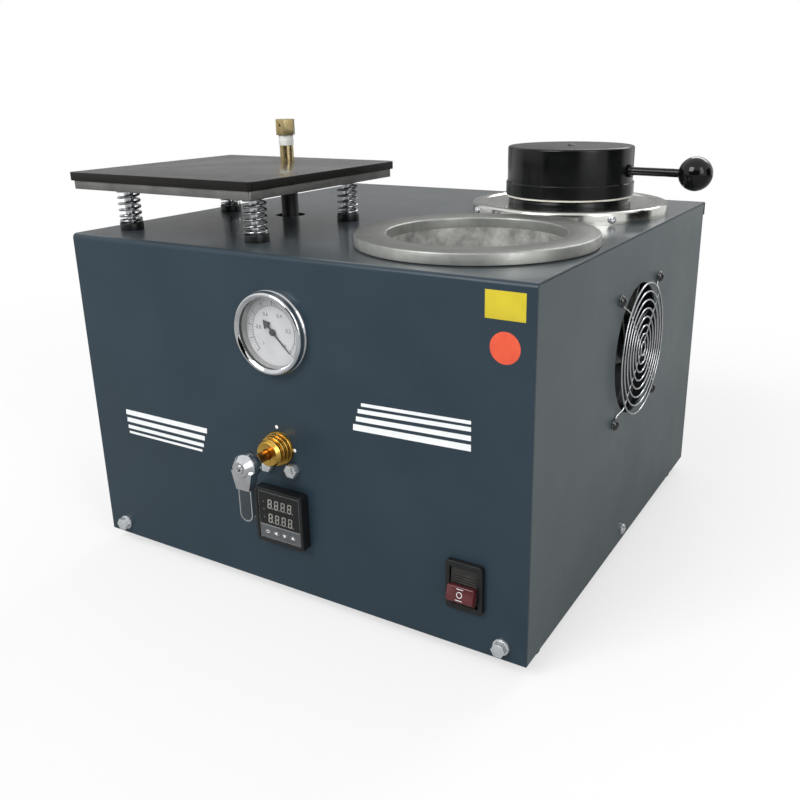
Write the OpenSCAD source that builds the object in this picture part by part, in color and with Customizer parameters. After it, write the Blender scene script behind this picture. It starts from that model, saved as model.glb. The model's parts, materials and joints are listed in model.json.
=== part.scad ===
// Combination vacuum investing and casting machine: a sheet steel case with a
// sprung investing table, a casting chamber and a small melting furnace on its deck.
// Places on the case are measured from its left side, its front and its underside,
// and the model stands on Z = 0 with the middle of its outline over the origin.

/* [Case] */
// Width of the case
box_w = 430; // [426:1:470]
// Depth of the case, from the front to the back panel
box_d = 425; // [421:1:470]
// Height of the case without its feet
box_h = 282; // [278:1:320]
// Thickness of the painted sheet steel
sheet = 1.5; // [1.2:0.1:1.8]
// Outside radius of the bend between front and deck
bend_r = 4; // [3:0.5:8]
// How far the deck overhangs the back panel
lip_out = 5; // [4:0.5:8]
// Height of the turned-down rear lip
lip_h = 13; // [10:0.5:18]
// Width of the flanges that stiffen the side panels
flange_w = 16; // [14:0.5:20]
// Height of the case screws above the underside
case_screw_z = 11; // [9:0.5:13]
// Distance of the front case screws from the sides
case_screw_in = 20; // [17:0.5:26]
// Height of the tray's turned-up edge
tray_h = 22; // [18:1:26]

/* [Feet] */
// Height of the rubber feet
foot_h = 11; // [8:0.5:16]
// Diameter of the rubber feet
foot_d = 29; // [24:1:31]
// Distance of a foot's middle from the side of the case
foot_in_x = 17.5; // [17.5:0.5:24]
// Distance of a foot's middle from the front and the back
foot_in_y = 34; // [24:1:40]

/* [Investing table] */
// Table centre from the left side
table_x = 100; // [99:1:112]
// Table centre from the front
table_y = 103; // [100:1:108]
// Side of the square table plate
table_side = 194; // [186:1:197]
// Thickness of the table plate
table_t = 7; // [6:0.5:9]
// How far the rubber pad stands out past the plate
pad_out = 2; // [1:0.5:3]
// Thickness of the rubber pad
pad_t = 7; // [5:0.5:9]
// Height of the plate's underside above the deck
table_rise = 37; // [35:0.5:42]
// Distance of the springs from the table's left and right edges
spring_in_x = 26; // [22:1:30]
// Distance of the springs from the table's front and rear edges
spring_in_y = 34; // [30:1:38]
// Outside diameter of the table springs
spring_d = 19.5; // [18:0.5:21]
// Diameter of the spring wire
spring_wire = 2.2; // [1.8:0.1:2.4]
// Turns of one table spring
spring_turns = 7; // [6:1:7]
// Diameter of the guide pins inside the springs
pin_d = 8; // [7:0.5:9]
// Height of the spring seats on the deck
seat_h = 6; // [4:0.5:7]
// Distance of the vacuum spud from the table's rear edge
spud_in = 29; // [26:1:36]
// Outside diameter of the vacuum spud
spud_d = 12.6; // [11:0.2:14]
// Height of the spud's plain part above the pad
spud_rise = 23; // [18:1:28]
// Height of the spud's hexagon cap
cap_h = 14; // [11:0.5:17]
// Width across the flats of the cap
cap_af = 16; // [15:0.5:18]
// Diameter of the hose's hole in the deck
hose_hole_d = 28; // [24:1:32]
// Outside diameter of the table hose
hose_d = 16; // [15.6:0.2:17]
// How far the table hose reaches below the deck
hose_drop = 42; // [36:1:48]

/* [Casting chamber] */
// Chamber centre from the right side
chamber_in_x = 99.5; // [99:0.5:108]
// Chamber centre from the front
chamber_y = 112; // [110:1:114]
// Bore of the chamber
chamber_bore_d = 140; // [134:1:142]
// Width of the chamber ring round the bore
ring_w = 25; // [22:0.5:27]
// Thickness of the chamber ring
ring_t = 8.5; // [7:0.5:11]
// Thickness of the gasket below the ring
gasket_t = 1; // [0.8:0.1:1.6]
// Wall of the chamber pot
pot_wall = 4; // [3.5:0.5:5]
// Depth of the pot below the deck
pot_depth = 180; // [165:1:190]

/* [Furnace] */
// Furnace centre from the right side
furnace_in_x = 99.5; // [99:0.5:106]
// Furnace centre from the front
furnace_y = 305; // [304:1:312]
// Diameter of the stainless furnace flange
dish_d = 183; // [178:1:185]
// Height of the furnace flange
dish_h = 11; // [9:0.5:13]
// Thickness of the flange sheet
dish_t = 1.2; // [1:0.1:1.5]
// Outside diameter of the black collar
collar_d = 113; // [109:1:114]
// Height of the collar's top above the deck
collar_top = 15.5; // [14.5:0.5:18]
// Outside diameter of the furnace can
can_d = 144; // [138:1:146]
// Depth of the furnace can below the deck
can_depth = 150; // [140:1:160]
// Bore of the furnace lining
lining_bore_d = 80; // [76:1:84]
// Thickness of the lining's floor
lining_floor = 30; // [24:1:34]
// Outside diameter of the crucible
crucible_d = 62; // [56:1:66]
// Height of the crucible
crucible_h = 98; // [80:1:106]
// Wall of the crucible
crucible_wall = 7; // [5:0.5:9]
// Height of the coil's foot above the lining's floor
coil_lift = 22; // [10:1:30]
// Distance of the coil's top below the deck
coil_below = 18; // [10:1:25]
// Diameter of the thermocouple's terminal
terminal_d = 16; // [12:1:20]
// Length of the thermocouple's terminal
terminal_len = 12; // [8:1:18]
// Turns of the heating coil
coil_turns = 9; // [6:1:10]

/* [Furnace lid] */
// Outside diameter of the lid
lid_d = 117; // [115:1:121]
// Height of the lid
lid_h = 44; // [38:1:50]
// Radius of the lid's top edge
lid_edge_r = 2; // [1.5:0.5:6]
// Wall of the lid
lid_wall = 2; // [1.5:0.5:2.5]
// Height of the hoop round the lid's foot
hoop_h = 12; // [8:1:15]
// Height of the handle above the lid's foot
handle_z = 23; // [20:1:27]
// Diameter of the handle rod
rod_d = 7.5; // [6:0.5:9]
// Distance of the ball's centre from the lid's wall
rod_len = 60.5; // [50:0.5:75]
// Angle of the handle from the right, turning to the back
handle_angle = -4; // [-20:1:20]
// Diameter of the ball knob
ball_d = 29.5; // [26:0.5:36]

/* [Gauge] */
// Gauge centre to the right of the case's middle
gauge_x = 0; // [-3:1:5]
// Height of the gauge centre above the underside
gauge_z = 222.5; // [218:0.5:230]
// Outside diameter of the gauge bezel
gauge_d = 66; // [58:1:68]
// How far the bezel stands out
gauge_out = 8.5; // [7:0.5:10]
// Depth of the gauge case behind the panel
gauge_depth = 34; // [33:1:40]
// Angle of the gauge's whole scale
gauge_sweep = 270; // [250:5:280]

/* [Valve] */
// Valve centre to the right of the case's middle
valve_x = -1; // [-3:1:5]
// Height of the valve above the underside
valve_z = 127.5; // [126:0.5:134]
// Rear diameter of the ribbed bonnet
bonnet_d = 27.5; // [25:0.5:30]
// Length of the bonnet
bonnet_len = 16; // [13:0.5:20]
// Diameter of the valve stem
stem_d = 8; // [7:0.5:9]
// Distance of the lever's middle from the panel
lever_out = 42; // [36:1:48]
// Length of the lever below its pivot
lever_len = 45; // [42:1:56]
// Width of the lever's grip
lever_w = 12.5; // [10:0.5:14]
// Diameter of the lever's hub
hub_d = 21; // [19:0.5:24]
// Distance of the two bracket bolts from each other
bolt_pitch = 25; // [22:1:30]
// Distance of the bracket bolts below the valve
bolt_drop = 16.5; // [16:0.5:20]

/* [Controller] */
// Controller centre to the right of the case's middle
ctrl_x = 0; // [-4:1:4]
// Height of the controller centre above the underside
ctrl_z = 68.5; // [66:0.5:72]
// Side of the square controller bezel
ctrl_side = 48; // [47:0.5:50]
// How far the bezel stands out
ctrl_out = 9; // [7:0.5:11]
// Depth of the controller behind the panel
ctrl_depth = 78; // [60:1:90]
// Travel of a controller key
key_travel = 0.5; // [0.3:0.05:0.6]

/* [Switch] */
// Switch centre from the right side
switch_in_x = 49; // [46:0.5:56]
// Height of the switch centre above the underside
switch_z = 53.5; // [48:0.5:60]
// Width of the switch housing
switch_w = 30; // [28:0.5:33]
// Height of the switch housing
switch_h = 39.5; // [38:0.5:44]
// Angle that the rocker tips to each side
rocker_tilt = 9; // [7:0.5:10]

/* [Fan] */
// Fan centre from the front
fan_y = 220.5; // [218:0.5:226]
// Height of the fan centre above the underside
fan_z = 182; // [176:1:190]
// Side of the square fan frame
fan_side = 120; // [119:0.5:121]
// Thickness of the fan
fan_t = 25; // [22:0.5:26]
// Outside diameter of the guard's rings
guard_d = 115; // [110:1:117]
// Rings in the guard
guard_rings = 8; // [6:1:8]
// Diameter of the guard's wire
guard_wire = 1.6; // [1.2:0.1:2]
// Blades of the fan
fan_blades = 7; // [5:1:9]

/* [Vacuum pump] */
// Pump axis from the front
pump_y = 300; // [290:1:310]
// Height of the pump axis above the underside
pump_z = 93; // [90:1:96]
// Left end of the pump from the left side
pump_x = 24; // [20:1:32]
// Length of the pump block
pump_len = 50; // [42:1:58]
// Length of the motor
motor_len = 108; // [95:1:115]
// Diameter of the motor
motor_d = 98; // [90:1:104]

/* [Fits] */
// Gap between neighbouring sheet parts
seam = 0.3; // [0.2:0.05:0.4]
// Radial clearance of a part that turns or slides in its bore
running = 0.06; // [0.05:0.01:0.09]
// Radial clearance of a part in its hole
loose = 0.4; // [0.3:0.05:0.5]
// Play between a moving part and its stop
stop_gap = 0.3; // [0.2:0.05:0.4]

/* [Hidden] */
$fn = 72;

// the whole outline: left side to ball knob, lever to rear lip
furnace_x = box_w - furnace_in_x;
ball_reach = lid_d/2 + rod_len;
right_reach = furnace_x + ball_reach*cos(handle_angle) + ball_d/2;
lever_t = 8;
hub_back = 12;
hub_front = 6;
lever_head_in = 2;
lever_head_h = 2.6;
screw_head_h = 3.6;
front_reach = lever_out + hub_front - lever_head_in + lever_head_h;
gland_hex_h = 5;
gland_out = gland_hex_h + 12;
origin_x = (right_reach - screw_head_h)/2;
origin_y = (box_d + gland_out - front_reach)/2;

// a place on the case, from its left side, its front and its underside
function fx(d) = d - origin_x;
function fy(d) = d - origin_y;
function fz(d) = d + foot_h;
deck = fz(box_h);

// the inner sides of the case
inset = sheet + seam;
chamber_x = box_w - chamber_in_x;
switch_x = box_w - switch_in_x;
mid_x = box_w/2;
gauge_cx = mid_x + gauge_x;
valve_cx = mid_x + valve_x;

pot_r = chamber_bore_d/2 + pot_wall;
ring_d = chamber_bore_d + 2*ring_w;
fan_pitch = fan_side - 15;
pot_rim_t = 4;
pot_rim_r = ring_d/2 - 3;
pot_floor = 6;
chamber_bolts = 6;
chamber_bolt_r = (pot_r + pot_rim_r)/2;

can_wall = 1.2;
can_lip_r = dish_d/2 - dish_t - stop_gap;
can_rim_h = 7.5;
lining_r = can_d/2 - can_wall;
neck_r = collar_d/2 - 2.2;
lining_top = deck + collar_top + 1.5;
lining_base = deck - can_depth + can_wall;
hearth = lining_base + lining_floor;
dish_top = deck + dish_h - 1.5;
dish_screws = 4;
dish_screw_turn = 45;
coil_wire = 3;
coil_r = lining_bore_d/2 - coil_wire/2 - stop_gap;
probe_d = 6;
probe_z = hearth + 9;

lid_foot = lining_top + stop_gap;
hoop_out = 1.2;

spring_r = (spring_d - spring_wire)/2;
seat_d = spring_d + 0.5;
spigot_d = pin_d + 5;
pin_head_h = 6;
pin_grip = 5;
plate_z = deck + table_rise;
pad_z = plate_z + table_t;
spud_top = pad_z + pad_t + spud_rise;
barb_len = 22;
barb_bore_d = 7;
hose_bore_d = spud_d;
hose_foot = deck - hose_drop;
tube_d = 10;
tube_wall = 1;
socket = 1.5;
bend = 10;
spud_x = table_x;
spud_y = table_y + table_side/2 - spud_in;
spring_pitch_x = table_side - 2*spring_in_x;
spring_pitch_y = table_side - 2*spring_in_y;

bonnet_hole_d = 20;
port_y = 24;
port_bore_d = 6;
valve_r = 17;
valve_half = 20;
case_screw_d = 4;
case_head_d = 10;
case_screw_len = 9;
washer_d = 13;
washer_t = 1.6;
m6_d = 6;
m6_af = 10;
m6_head = 5.5;
bracket_t = 2;

body_side = ctrl_side - 3.2;
face_in = 1;
face_t = 1.2;
key_w = 6.4;
key_h = 3.6;
key_gap = 0.15;
key_z = -(ctrl_side/2 - 9);
key_step = 8.6;
key_x = [for (i = [0 : 3]) key_step*(i - 1.5)];

shaft_d = 10;

// ---- shapes used more than once ----

// moves children to a place on the front, with Z turned to point out of the panel
module on_front(x, z, out = 0) {
  translate([fx(x), fy(-out), fz(z)]) rotate([90, 0, 0]) children();
}

// moves children to a place on the right side, with Z pointing out of the panel
module on_right(y, z, out = 0) {
  translate([fx(box_w + out), fy(y), fz(z)]) rotate([0, 90, 0]) children();
}

module tube(r_out, r_in, h) {
  difference() {
    cylinder(r = r_out, h = h);
    translate([0, 0, -1]) cylinder(r = r_in, h = h + 2);
  }
}

module hexagon(af, h) {
  cylinder(r = af/2/cos(30), h = h, $fn = 6);
}

// a quarter elbow from +Z at the origin to +X, whose wall holds the ends of the tubes
module tube_bend() {
  rotate([90, 0, 0]) translate([bend, 0, 0]) rotate(90) rotate_extrude(angle = 90)
    translate([bend, 0]) difference() {
      circle(d = tube_d + 2);
      circle(d = tube_d - 2*tube_wall - 0.4);
    }
}

module straight_tube(len) {
  tube(tube_d/2, tube_d/2 - tube_wall, len);
}

// a rounded rectangle round the origin
module round_rect(w, h, r) {
  square([w - 2*r, h], center = true);
  square([w, h - 2*r], center = true);
  for (i = [-1, 1], j = [-1, 1]) translate([i*(w/2 - r), j*(h/2 - r)]) circle(r = r);
}

// a pan head screw standing on Z = 0 with its shank below
module pan_screw(head_d, head_h, shank_d, len) {
  difference() {
    union() {
      cylinder(d = head_d, h = head_h*0.45);
      intersection() {
        translate([0, 0, head_h - head_d*0.75]) sphere(r = head_d*0.75);
        translate([0, 0, head_h*0.45]) cylinder(d = head_d, h = head_h);
      }
    }
    for (a = [0, 90]) rotate(a)
      translate([-head_d*0.3, -0.5, head_h*0.55]) cube([head_d*0.6, 1, head_h]);
  }
  translate([0, 0, -len]) cylinder(d = shank_d, h = len);
}

module hex_bolt(len) {
  hexagon(m6_af, m6_head);
  translate([0, 0, -len]) cylinder(d = m6_d, h = len);
}

// wire wound into a coil that stands on Z = 0; its end turns lie close
module wire_coil(coil_r, wire_d, height, turns, per_turn, sides, shut) {
  rings = round(turns*per_turn);
  shut_rise = wire_d + 0.15;
  free_rise = (height - wire_d - 2*shut*shut_rise)/(turns - 2*shut);
  function rise(t) = wire_d/2 + min(t, shut)*shut_rise
    + max(0, min(t, turns - shut) - shut)*free_rise
    + max(0, t - turns + shut)*shut_rise;
  points = [for (i = [0 : rings]) let (a = 360*i/per_turn)
    for (j = [0 : sides - 1]) let (b = 360*j/sides, r = coil_r + wire_d/2*cos(b))
      [r*cos(a), r*sin(a), rise(i/per_turn) + wire_d/2*sin(b)]];
  walls = [for (i = [0 : rings - 1], j = [0 : sides - 1]) let (k = (j + 1)%sides)
    [i*sides + j, (i + 1)*sides + j, (i + 1)*sides + k, i*sides + k]];
  first = [for (j = [0 : sides - 1]) j];
  last = [for (j = [sides - 1 : -1 : 0]) rings*sides + j];
  polyhedron(points, concat([first], walls, [last]), convexity = 8);
}

// ---- case ----

module corner_cut(r) {
  difference() {
    translate([-1, 0]) square([r + 1, r + 1]);
    translate([r, 0]) circle(r = r);
  }
}

// side view of the bent sheet: front, deck and rear lip
module cover_side(d) {
  rear_r = 3;
  difference() {
    translate([d, -d]) square([box_d + lip_out - 2*d, box_h]);
    translate([d, box_h - bend_r]) corner_cut(bend_r - d);
    translate([box_d + lip_out - d, box_h - rear_r]) mirror([1, 0]) corner_cut(rear_r - d);
  }
}

module front_top_cover() color("#33434e") difference() {
  translate([fx(0), fy(0), foot_h]) rotate([90, 0, 90]) linear_extrude(box_w)
    difference() {
      cover_side(0);
      cover_side(sheet);
      translate([sheet, -1]) square([box_d + lip_out, box_h - lip_h + 1]);
    }
  translate([fx(chamber_x), fy(chamber_y), deck - 5]) cylinder(r = pot_r + loose, h = 10);
  chamber_bolt_places() translate([0, 0, deck - 5]) cylinder(d = m6_d + 2*loose, h = 10);
  translate([fx(furnace_x), fy(furnace_y), deck - 5]) cylinder(d = can_d + 2*loose, h = 10);
  spring_places() translate([0, 0, deck - 5]) cylinder(d = spigot_d + 2*running, h = 10);
  translate([fx(spud_x), fy(spud_y), deck - 5]) cylinder(d = hose_hole_d, h = 10);
  on_front(gauge_cx, gauge_z, -5) cylinder(r = gauge_case_r + loose, h = 10);
  on_front(valve_cx, valve_z, -5) cylinder(d = bonnet_hole_d + 2*loose, h = 10);
  bracket_bolt_places(-5) cylinder(d = m6_d + 2*loose, h = 10);
  on_front(mid_x + ctrl_x, ctrl_z, -5) linear_extrude(10)
    square(body_side + 2*loose, center = true);
  on_front(switch_x, switch_z, -5) linear_extrude(10)
    square([switch_w - 4 + 2*loose, switch_h - 4 + 2*loose], center = true);
  front_screw_places(-5) cylinder(d = m6_d + 2*loose, h = 10);
}

module front_screw_places(out) {
  for (x = [case_screw_in, box_w - case_screw_in]) on_front(x, case_screw_z, out) children();
}

module side_screw_places(out) {
  on_right(box_d/2, case_screw_z, out) children();
  translate([fx(-out), fy(box_d/2), fz(case_screw_z)]) rotate([0, -90, 0]) children();
}

module back_screw_places(out) {
  for (x = [case_screw_in, box_w - case_screw_in])
    translate([fx(x), fy(box_d + out), fz(case_screw_z)]) rotate([-90, 0, 0]) children();
}

// outline of a side panel, seen from the right
module side_outline() {
  top = box_h - inset;
  r = bend_r - inset;
  difference() {
    translate([inset, 0]) square([box_d - inset, top]);
    translate([inset, top - r]) corner_cut(r);
  }
}

// a side panel with its top flange bent inwards; side is 1 at the right
module side_panel(side) {
  x = side > 0 ? box_w - sheet : 0;
  inner = side > 0 ? box_w - flange_w : 0;
  translate([fx(x), fy(0), foot_h]) rotate([90, 0, 90]) linear_extrude(sheet) side_outline();
  translate([fx(inner), fy(bend_r + 4), deck - inset - sheet])
    cube([flange_w, box_d - bend_r - 30, sheet]);
}

module left_side_panel() color("#414c51") difference() {
  side_panel(-1);
  side_screw_places(-5) cylinder(d = case_screw_d + 2*loose, h = 10);
}

module right_side_panel() color("#414c51") difference() {
  side_panel(1);
  side_screw_places(-5) cylinder(d = case_screw_d + 2*loose, h = 10);
  on_right(fan_y, fan_z, -5) cylinder(d = fan_side - 7, h = 10);
  fan_screw_places(-5) cylinder(d = fan_screw_d + 2*loose, h = 10);
  translate([fx(chamber_x), fy(chamber_y), deck - 10]) cylinder(r = pot_rim_r + loose, h = 15);
}

vent_slots = 9;
vent_pitch = 12;
vent_w = 4;
vent_len = 60;
gland_x = 60;
gland_z = 40;
gland_d = 20;

module back_panel() color("#33434e") {
  translate([fx(0), fy(box_d), foot_h]) difference() {
    translate([inset, -sheet, 0]) cube([box_w - 2*inset, sheet, box_h - inset]);
    translate([gland_x, 5, gland_z]) rotate([90, 0, 0])
      cylinder(r = gland_d/2 + running, h = 10);
    for (i = [0 : vent_slots - 1])
      translate([box_w/2 + vent_pitch*(i - (vent_slots - 1)/2), 5, box_h*0.62])
        rotate([90, 0, 0]) linear_extrude(10) round_rect(vent_w, vent_len, vent_w/2 - 0.01);
    for (x = [case_screw_in, box_w - case_screw_in])
      translate([x, 5, case_screw_z]) rotate([90, 0, 0])
        cylinder(d = case_screw_d + 2*loose, h = 10);
  }
}

module base_tray() color("#33434e") difference() {
  back = box_d - inset;
  translate([fx(inset), fy(inset), foot_h]) difference() {
    cube([box_w - 2*inset, back - inset, tray_h]);
    translate([sheet, sheet, sheet])
      cube([box_w - 2*inset - 2*sheet, back - inset - 2*sheet, tray_h]);
  }
  front_screw_places(-10) cylinder(d = m6_d, h = 20);
  side_screw_places(-10) cylinder(d = case_screw_d, h = 20);
  back_screw_places(-10) cylinder(d = case_screw_d, h = 20);
}

module rubber_feet() color("#1b1b1b")
  for (x = [foot_in_x, box_w - foot_in_x], y = [foot_in_y, box_d - foot_in_y])
    translate([fx(x), fy(y), 0]) rotate_extrude()
      polygon([[0, 0], [foot_d/2 - 2.5, 0], [foot_d/2 - 1.5, 1], [foot_d/2, foot_h],
        [0, foot_h]]);

// the screws of the sides and the back, and the furnace flange's side screws
module pan_screws() color("#d8d8d8") {
  side_screw_places(0) pan_screw(case_head_d, screw_head_h, case_screw_d, case_screw_len);
  back_screw_places(0) pan_screw(case_head_d, screw_head_h, case_screw_d, case_screw_len);
  dish_screw_places(dish_d/2) pan_screw(7, 2.6, 3, 4);
}

// ---- investing table ----

module spring_places() {
  for (i = [-1, 1], j = [-1, 1])
    translate([fx(table_x) + i*spring_pitch_x/2, fy(table_y) + j*spring_pitch_y/2, 0]) children();
}

module table_plate() color("#a9abaa") difference() {
  translate([fx(table_x), fy(table_y), plate_z]) linear_extrude(table_t)
    round_rect(table_side, table_side, 2);
  spring_places() translate([0, 0, plate_z - 1]) cylinder(d = pin_d, h = pin_grip + 1);
  translate([fx(spud_x), fy(spud_y), plate_z - 1]) cylinder(d = spud_d, h = table_t + 2);
}

module rubber_pad() color("#16181a") difference() {
  translate([fx(table_x), fy(table_y), pad_z]) linear_extrude(pad_t)
    round_rect(table_side + 2*pad_out, table_side + 2*pad_out, 2.5);
  translate([fx(spud_x), fy(spud_y), pad_z - 1]) cylinder(d = spud_d, h = pad_t + 2);
}

module table_springs() color("#c9ccce") spring_places()
  translate([0, 0, deck + seat_h])
    wire_coil(spring_r, spring_wire, table_rise - seat_h, spring_turns, 12, 6, 1);

// top hat bushes: they seat the springs and guide the pins through the deck
module spring_seats() color("#202224") spring_places() difference() {
  union() {
    translate([0, 0, deck]) cylinder(d = seat_d, h = seat_h);
    translate([0, 0, deck - sheet - 2]) cylinder(d = spigot_d, h = sheet + 3);
  }
  translate([0, 0, deck - 10]) cylinder(d = pin_d + 2*running, h = seat_h + 20);
}

// headed pins that screw into the plate from below and hold the springs in place
module guide_pins() color("#9a9c9e") spring_places() {
  head_top = deck - sheet - 2 - stop_gap;
  translate([0, 0, head_top]) cylinder(d = pin_d, h = plate_z + pin_grip - head_top);
  translate([0, 0, head_top - pin_head_h]) hexagon(pin_d*1.6, pin_head_h);
}

module vacuum_spud() color("#b98b35") translate([fx(spud_x), fy(spud_y), 0])
  translate([0, 0, plate_z - barb_len])
    tube(spud_d/2, barb_bore_d/2, spud_top - plate_z + barb_len);

// hexagon cap with cross holes that let the air in
module spud_cap() color("#c0923c") translate([fx(spud_x), fy(spud_y), 0]) difference() {
  union() {
    translate([0, 0, spud_top]) hexagon(cap_af, cap_h);
    translate([0, 0, spud_top - 6]) cylinder(d = barb_bore_d, h = 7);
  }
  translate([0, 0, spud_top - 7]) cylinder(d = 4, h = cap_h + 2);
  for (a = [30, 90]) rotate(a) translate([-cap_af, 0, spud_top + cap_h*0.6])
    rotate([0, 90, 0]) cylinder(d = 2, h = 2*cap_af);
}

module table_hose() color("#1a1a1a") translate([fx(spud_x), fy(spud_y), hose_foot])
  tube(hose_d/2, hose_bore_d/2, plate_z - 4 - hose_foot);

// worm drive clamp: a thin band and its screw housing
module hose_clamp() color("#c4c6c8")
  translate([fx(spud_x), fy(spud_y), plate_z - 16]) {
    tube(hose_d/2 + 1, hose_d/2, 8);
    translate([-6, -hose_d/2 - 6, 1]) difference() {
      cube([12, 5.6, 6]);
      translate([-1, 2, 3]) rotate([0, 90, 0]) cylinder(d = 3.2, h = 4);
    }
  }

// ---- casting chamber ----

module chamber_bolt_places() {
  translate([fx(chamber_x), fy(chamber_y), 0])
    for (i = [0 : chamber_bolts - 1]) rotate(360*(i + 0.5)/chamber_bolts)
      translate([chamber_bolt_r, 0, 0]) children();
}

module chamber_flange() color("#8f918f") difference() {
  translate([fx(chamber_x), fy(chamber_y), deck + gasket_t]) rotate_extrude($fn = 144)
    polygon([[chamber_bore_d/2, 0], [ring_d/2, 0], [ring_d/2, ring_t - 1],
      [ring_d/2 - 1, ring_t], [chamber_bore_d/2 + 2.5, ring_t], [chamber_bore_d/2, ring_t - 1.5]]);
  chamber_bolt_places() translate([0, 0, deck]) cylinder(d = m6_d, h = gasket_t + ring_t - 2.5);
}

module chamber_gasket() color("#1c1c1c") difference() {
  translate([fx(chamber_x), fy(chamber_y), deck]) tube(ring_d/2 - 0.6, pot_r + loose, gasket_t);
  chamber_bolt_places() translate([0, 0, deck - 1]) cylinder(d = m6_d + 2*loose, h = gasket_t + 2);
}

pot_base = deck - pot_depth;
pot_port_z = fz(valve_z);
boss_d = 18;
boss_out = max(0.5, chamber_y - pot_r - port_y - bend);

module chamber_pot() color("#8a8c8a") difference() {
  union() {
    translate([fx(chamber_x), fy(chamber_y), pot_base])
      cylinder(r = pot_r, h = deck + gasket_t - pot_base);
    translate([fx(chamber_x), fy(chamber_y), deck - sheet - pot_rim_t])
      cylinder(r = pot_rim_r, h = pot_rim_t);
    translate([fx(chamber_x), fy(chamber_y - pot_r + 2), pot_port_z]) rotate([90, 0, 0])
      cylinder(d = boss_d, h = boss_out + 2);
  }
  translate([fx(chamber_x), fy(chamber_y), pot_base + pot_floor])
    cylinder(d = chamber_bore_d, h = pot_depth + 20, $fn = 144);
  translate([fx(chamber_x), fy(chamber_y), pot_port_z]) rotate([90, 0, 0])
    cylinder(d = tube_d, h = 2*pot_r);
  chamber_bolt_places() translate([0, 0, deck - 20]) cylinder(d = m6_d + 2*loose, h = 30);
}

// chamber bolts from below, the two bolts of the valve bracket and, on washers, the front's
module hex_bolts() color("#d5d7d8") {
  chamber_bolt_places() translate([0, 0, deck - sheet - pot_rim_t]) rotate([180, 0, 0])
    hex_bolt(pot_rim_t + sheet + gasket_t + ring_t - 4);
  bracket_bolt_places(0) hex_bolt(sheet + bracket_t + 6);
  front_screw_places(0) cylinder(d = washer_d, h = washer_t);
  front_screw_places(washer_t - 0.2) hex_bolt(case_screw_len + washer_t);
}

// ---- vacuum lines ----

line_z = fz(valve_z);

// the chamber line, the table line and the pump line, each a run of copper tube
module vacuum_lines() color("#b0713c") {
  chamber_line();
  table_line();
  pump_line();
  gauge_line();
}

module chamber_line() {
  start = valve_cx + valve_r + valve_nose;
  translate([fx(start), fy(port_y), line_z]) rotate([0, 90, 0])
    straight_tube(chamber_x - bend - start + socket);
  translate([fx(chamber_x - bend), fy(port_y), line_z]) rotate([0, 90, 0]) rotate(90) tube_bend();
  translate([fx(chamber_x), fy(port_y + bend - socket), line_z]) rotate([-90, 0, 0])
    straight_tube(max(1, chamber_y - pot_r + 2 - port_y - bend) + socket);
}

module table_line() {
  turn_y = spud_y;
  stop_y = port_y + valve_half + valve_nose;
  translate([fx(spud_x), fy(turn_y), line_z + bend - socket])
    straight_tube(hose_foot + 4 - line_z - bend + socket);
  translate([fx(spud_x), fy(turn_y), hose_foot]) tube(spud_d/2, tube_d/2 - 0.5, barb_len - 8);
  translate([fx(spud_x), fy(turn_y), line_z + bend]) rotate([180, 0, 0]) tube_bend();
  translate([fx(spud_x + bend - socket), fy(turn_y), line_z]) rotate([0, 90, 0])
    straight_tube(valve_cx - spud_x - 2*bend + 2*socket);
  translate([fx(valve_cx - bend), fy(turn_y), line_z]) rotate([0, 90, 0]) rotate(-90) tube_bend();
  translate([fx(valve_cx), fy(stop_y), line_z]) rotate([-90, 0, 0])
    straight_tube(turn_y - bend - stop_y + socket);
}

module pump_line() {
  start = valve_cx - valve_r - valve_nose;
  inlet_x = pump_x + pump_len/2;
  end_y = pump_y - pump_block/2 - 6;
  translate([fx(inlet_x + bend - socket), fy(port_y), line_z]) rotate([0, 90, 0])
    straight_tube(start - inlet_x - bend + socket);
  translate([fx(inlet_x + bend), fy(port_y), line_z]) rotate([0, -90, 0]) rotate(90) tube_bend();
  translate([fx(inlet_x), fy(port_y + bend - socket), line_z]) rotate([-90, 0, 0])
    straight_tube(end_y - port_y - bend + socket);
}

module gauge_line() {
  foot = line_z + valve_r + valve_nose;
  head = fz(gauge_z) - gauge_case_r - gauge_port_h;
  translate([fx(gauge_cx), fy(port_y), foot]) straight_tube(head - foot);
}

// ---- melting furnace ----

module at_furnace(z) translate([fx(furnace_x), fy(furnace_y), z]) children();

module dish_screw_places(r) {
  at_furnace(deck + can_rim_h/2 + 1)
    for (i = [0 : dish_screws - 1]) rotate(360*i/dish_screws + dish_screw_turn - 90)
      rotate([0, 90, 0]) translate([0, 0, r]) children();
}

// shallow stainless pan with a rolled edge and a sunk middle
module furnace_flange() color("#b9bbb8") difference() {
  r = dish_d/2;
  sink = r - 9;
  at_furnace(deck) rotate_extrude($fn = 144)
    polygon([[r - dish_t, 0], [r, 0], [r, dish_h - 2], [r - 2, dish_h], [sink, dish_h],
      [sink - 3, dish_h - 1.5], [neck_r + 0.2, dish_h - 1.5],
      [neck_r + 0.2, dish_h - 1.5 - dish_t], [sink - 2.5, dish_h - 1.5 - dish_t],
      [sink + 0.5, dish_h - dish_t], [r - dish_t - 1, dish_h - dish_t],
      [r - dish_t, dish_h - dish_t - 1]]);
  dish_screw_places(r - 10) cylinder(d = 3.4, h = 20);
}

module furnace_collar() color("#17181a") at_furnace(dish_top) rotate_extrude()
  polygon([[neck_r + 0.2, 0], [collar_d/2 + 0.8, 0],
    [collar_d/2, deck + collar_top - dish_top], [neck_r + 0.2, deck + collar_top - dish_top]]);

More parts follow.
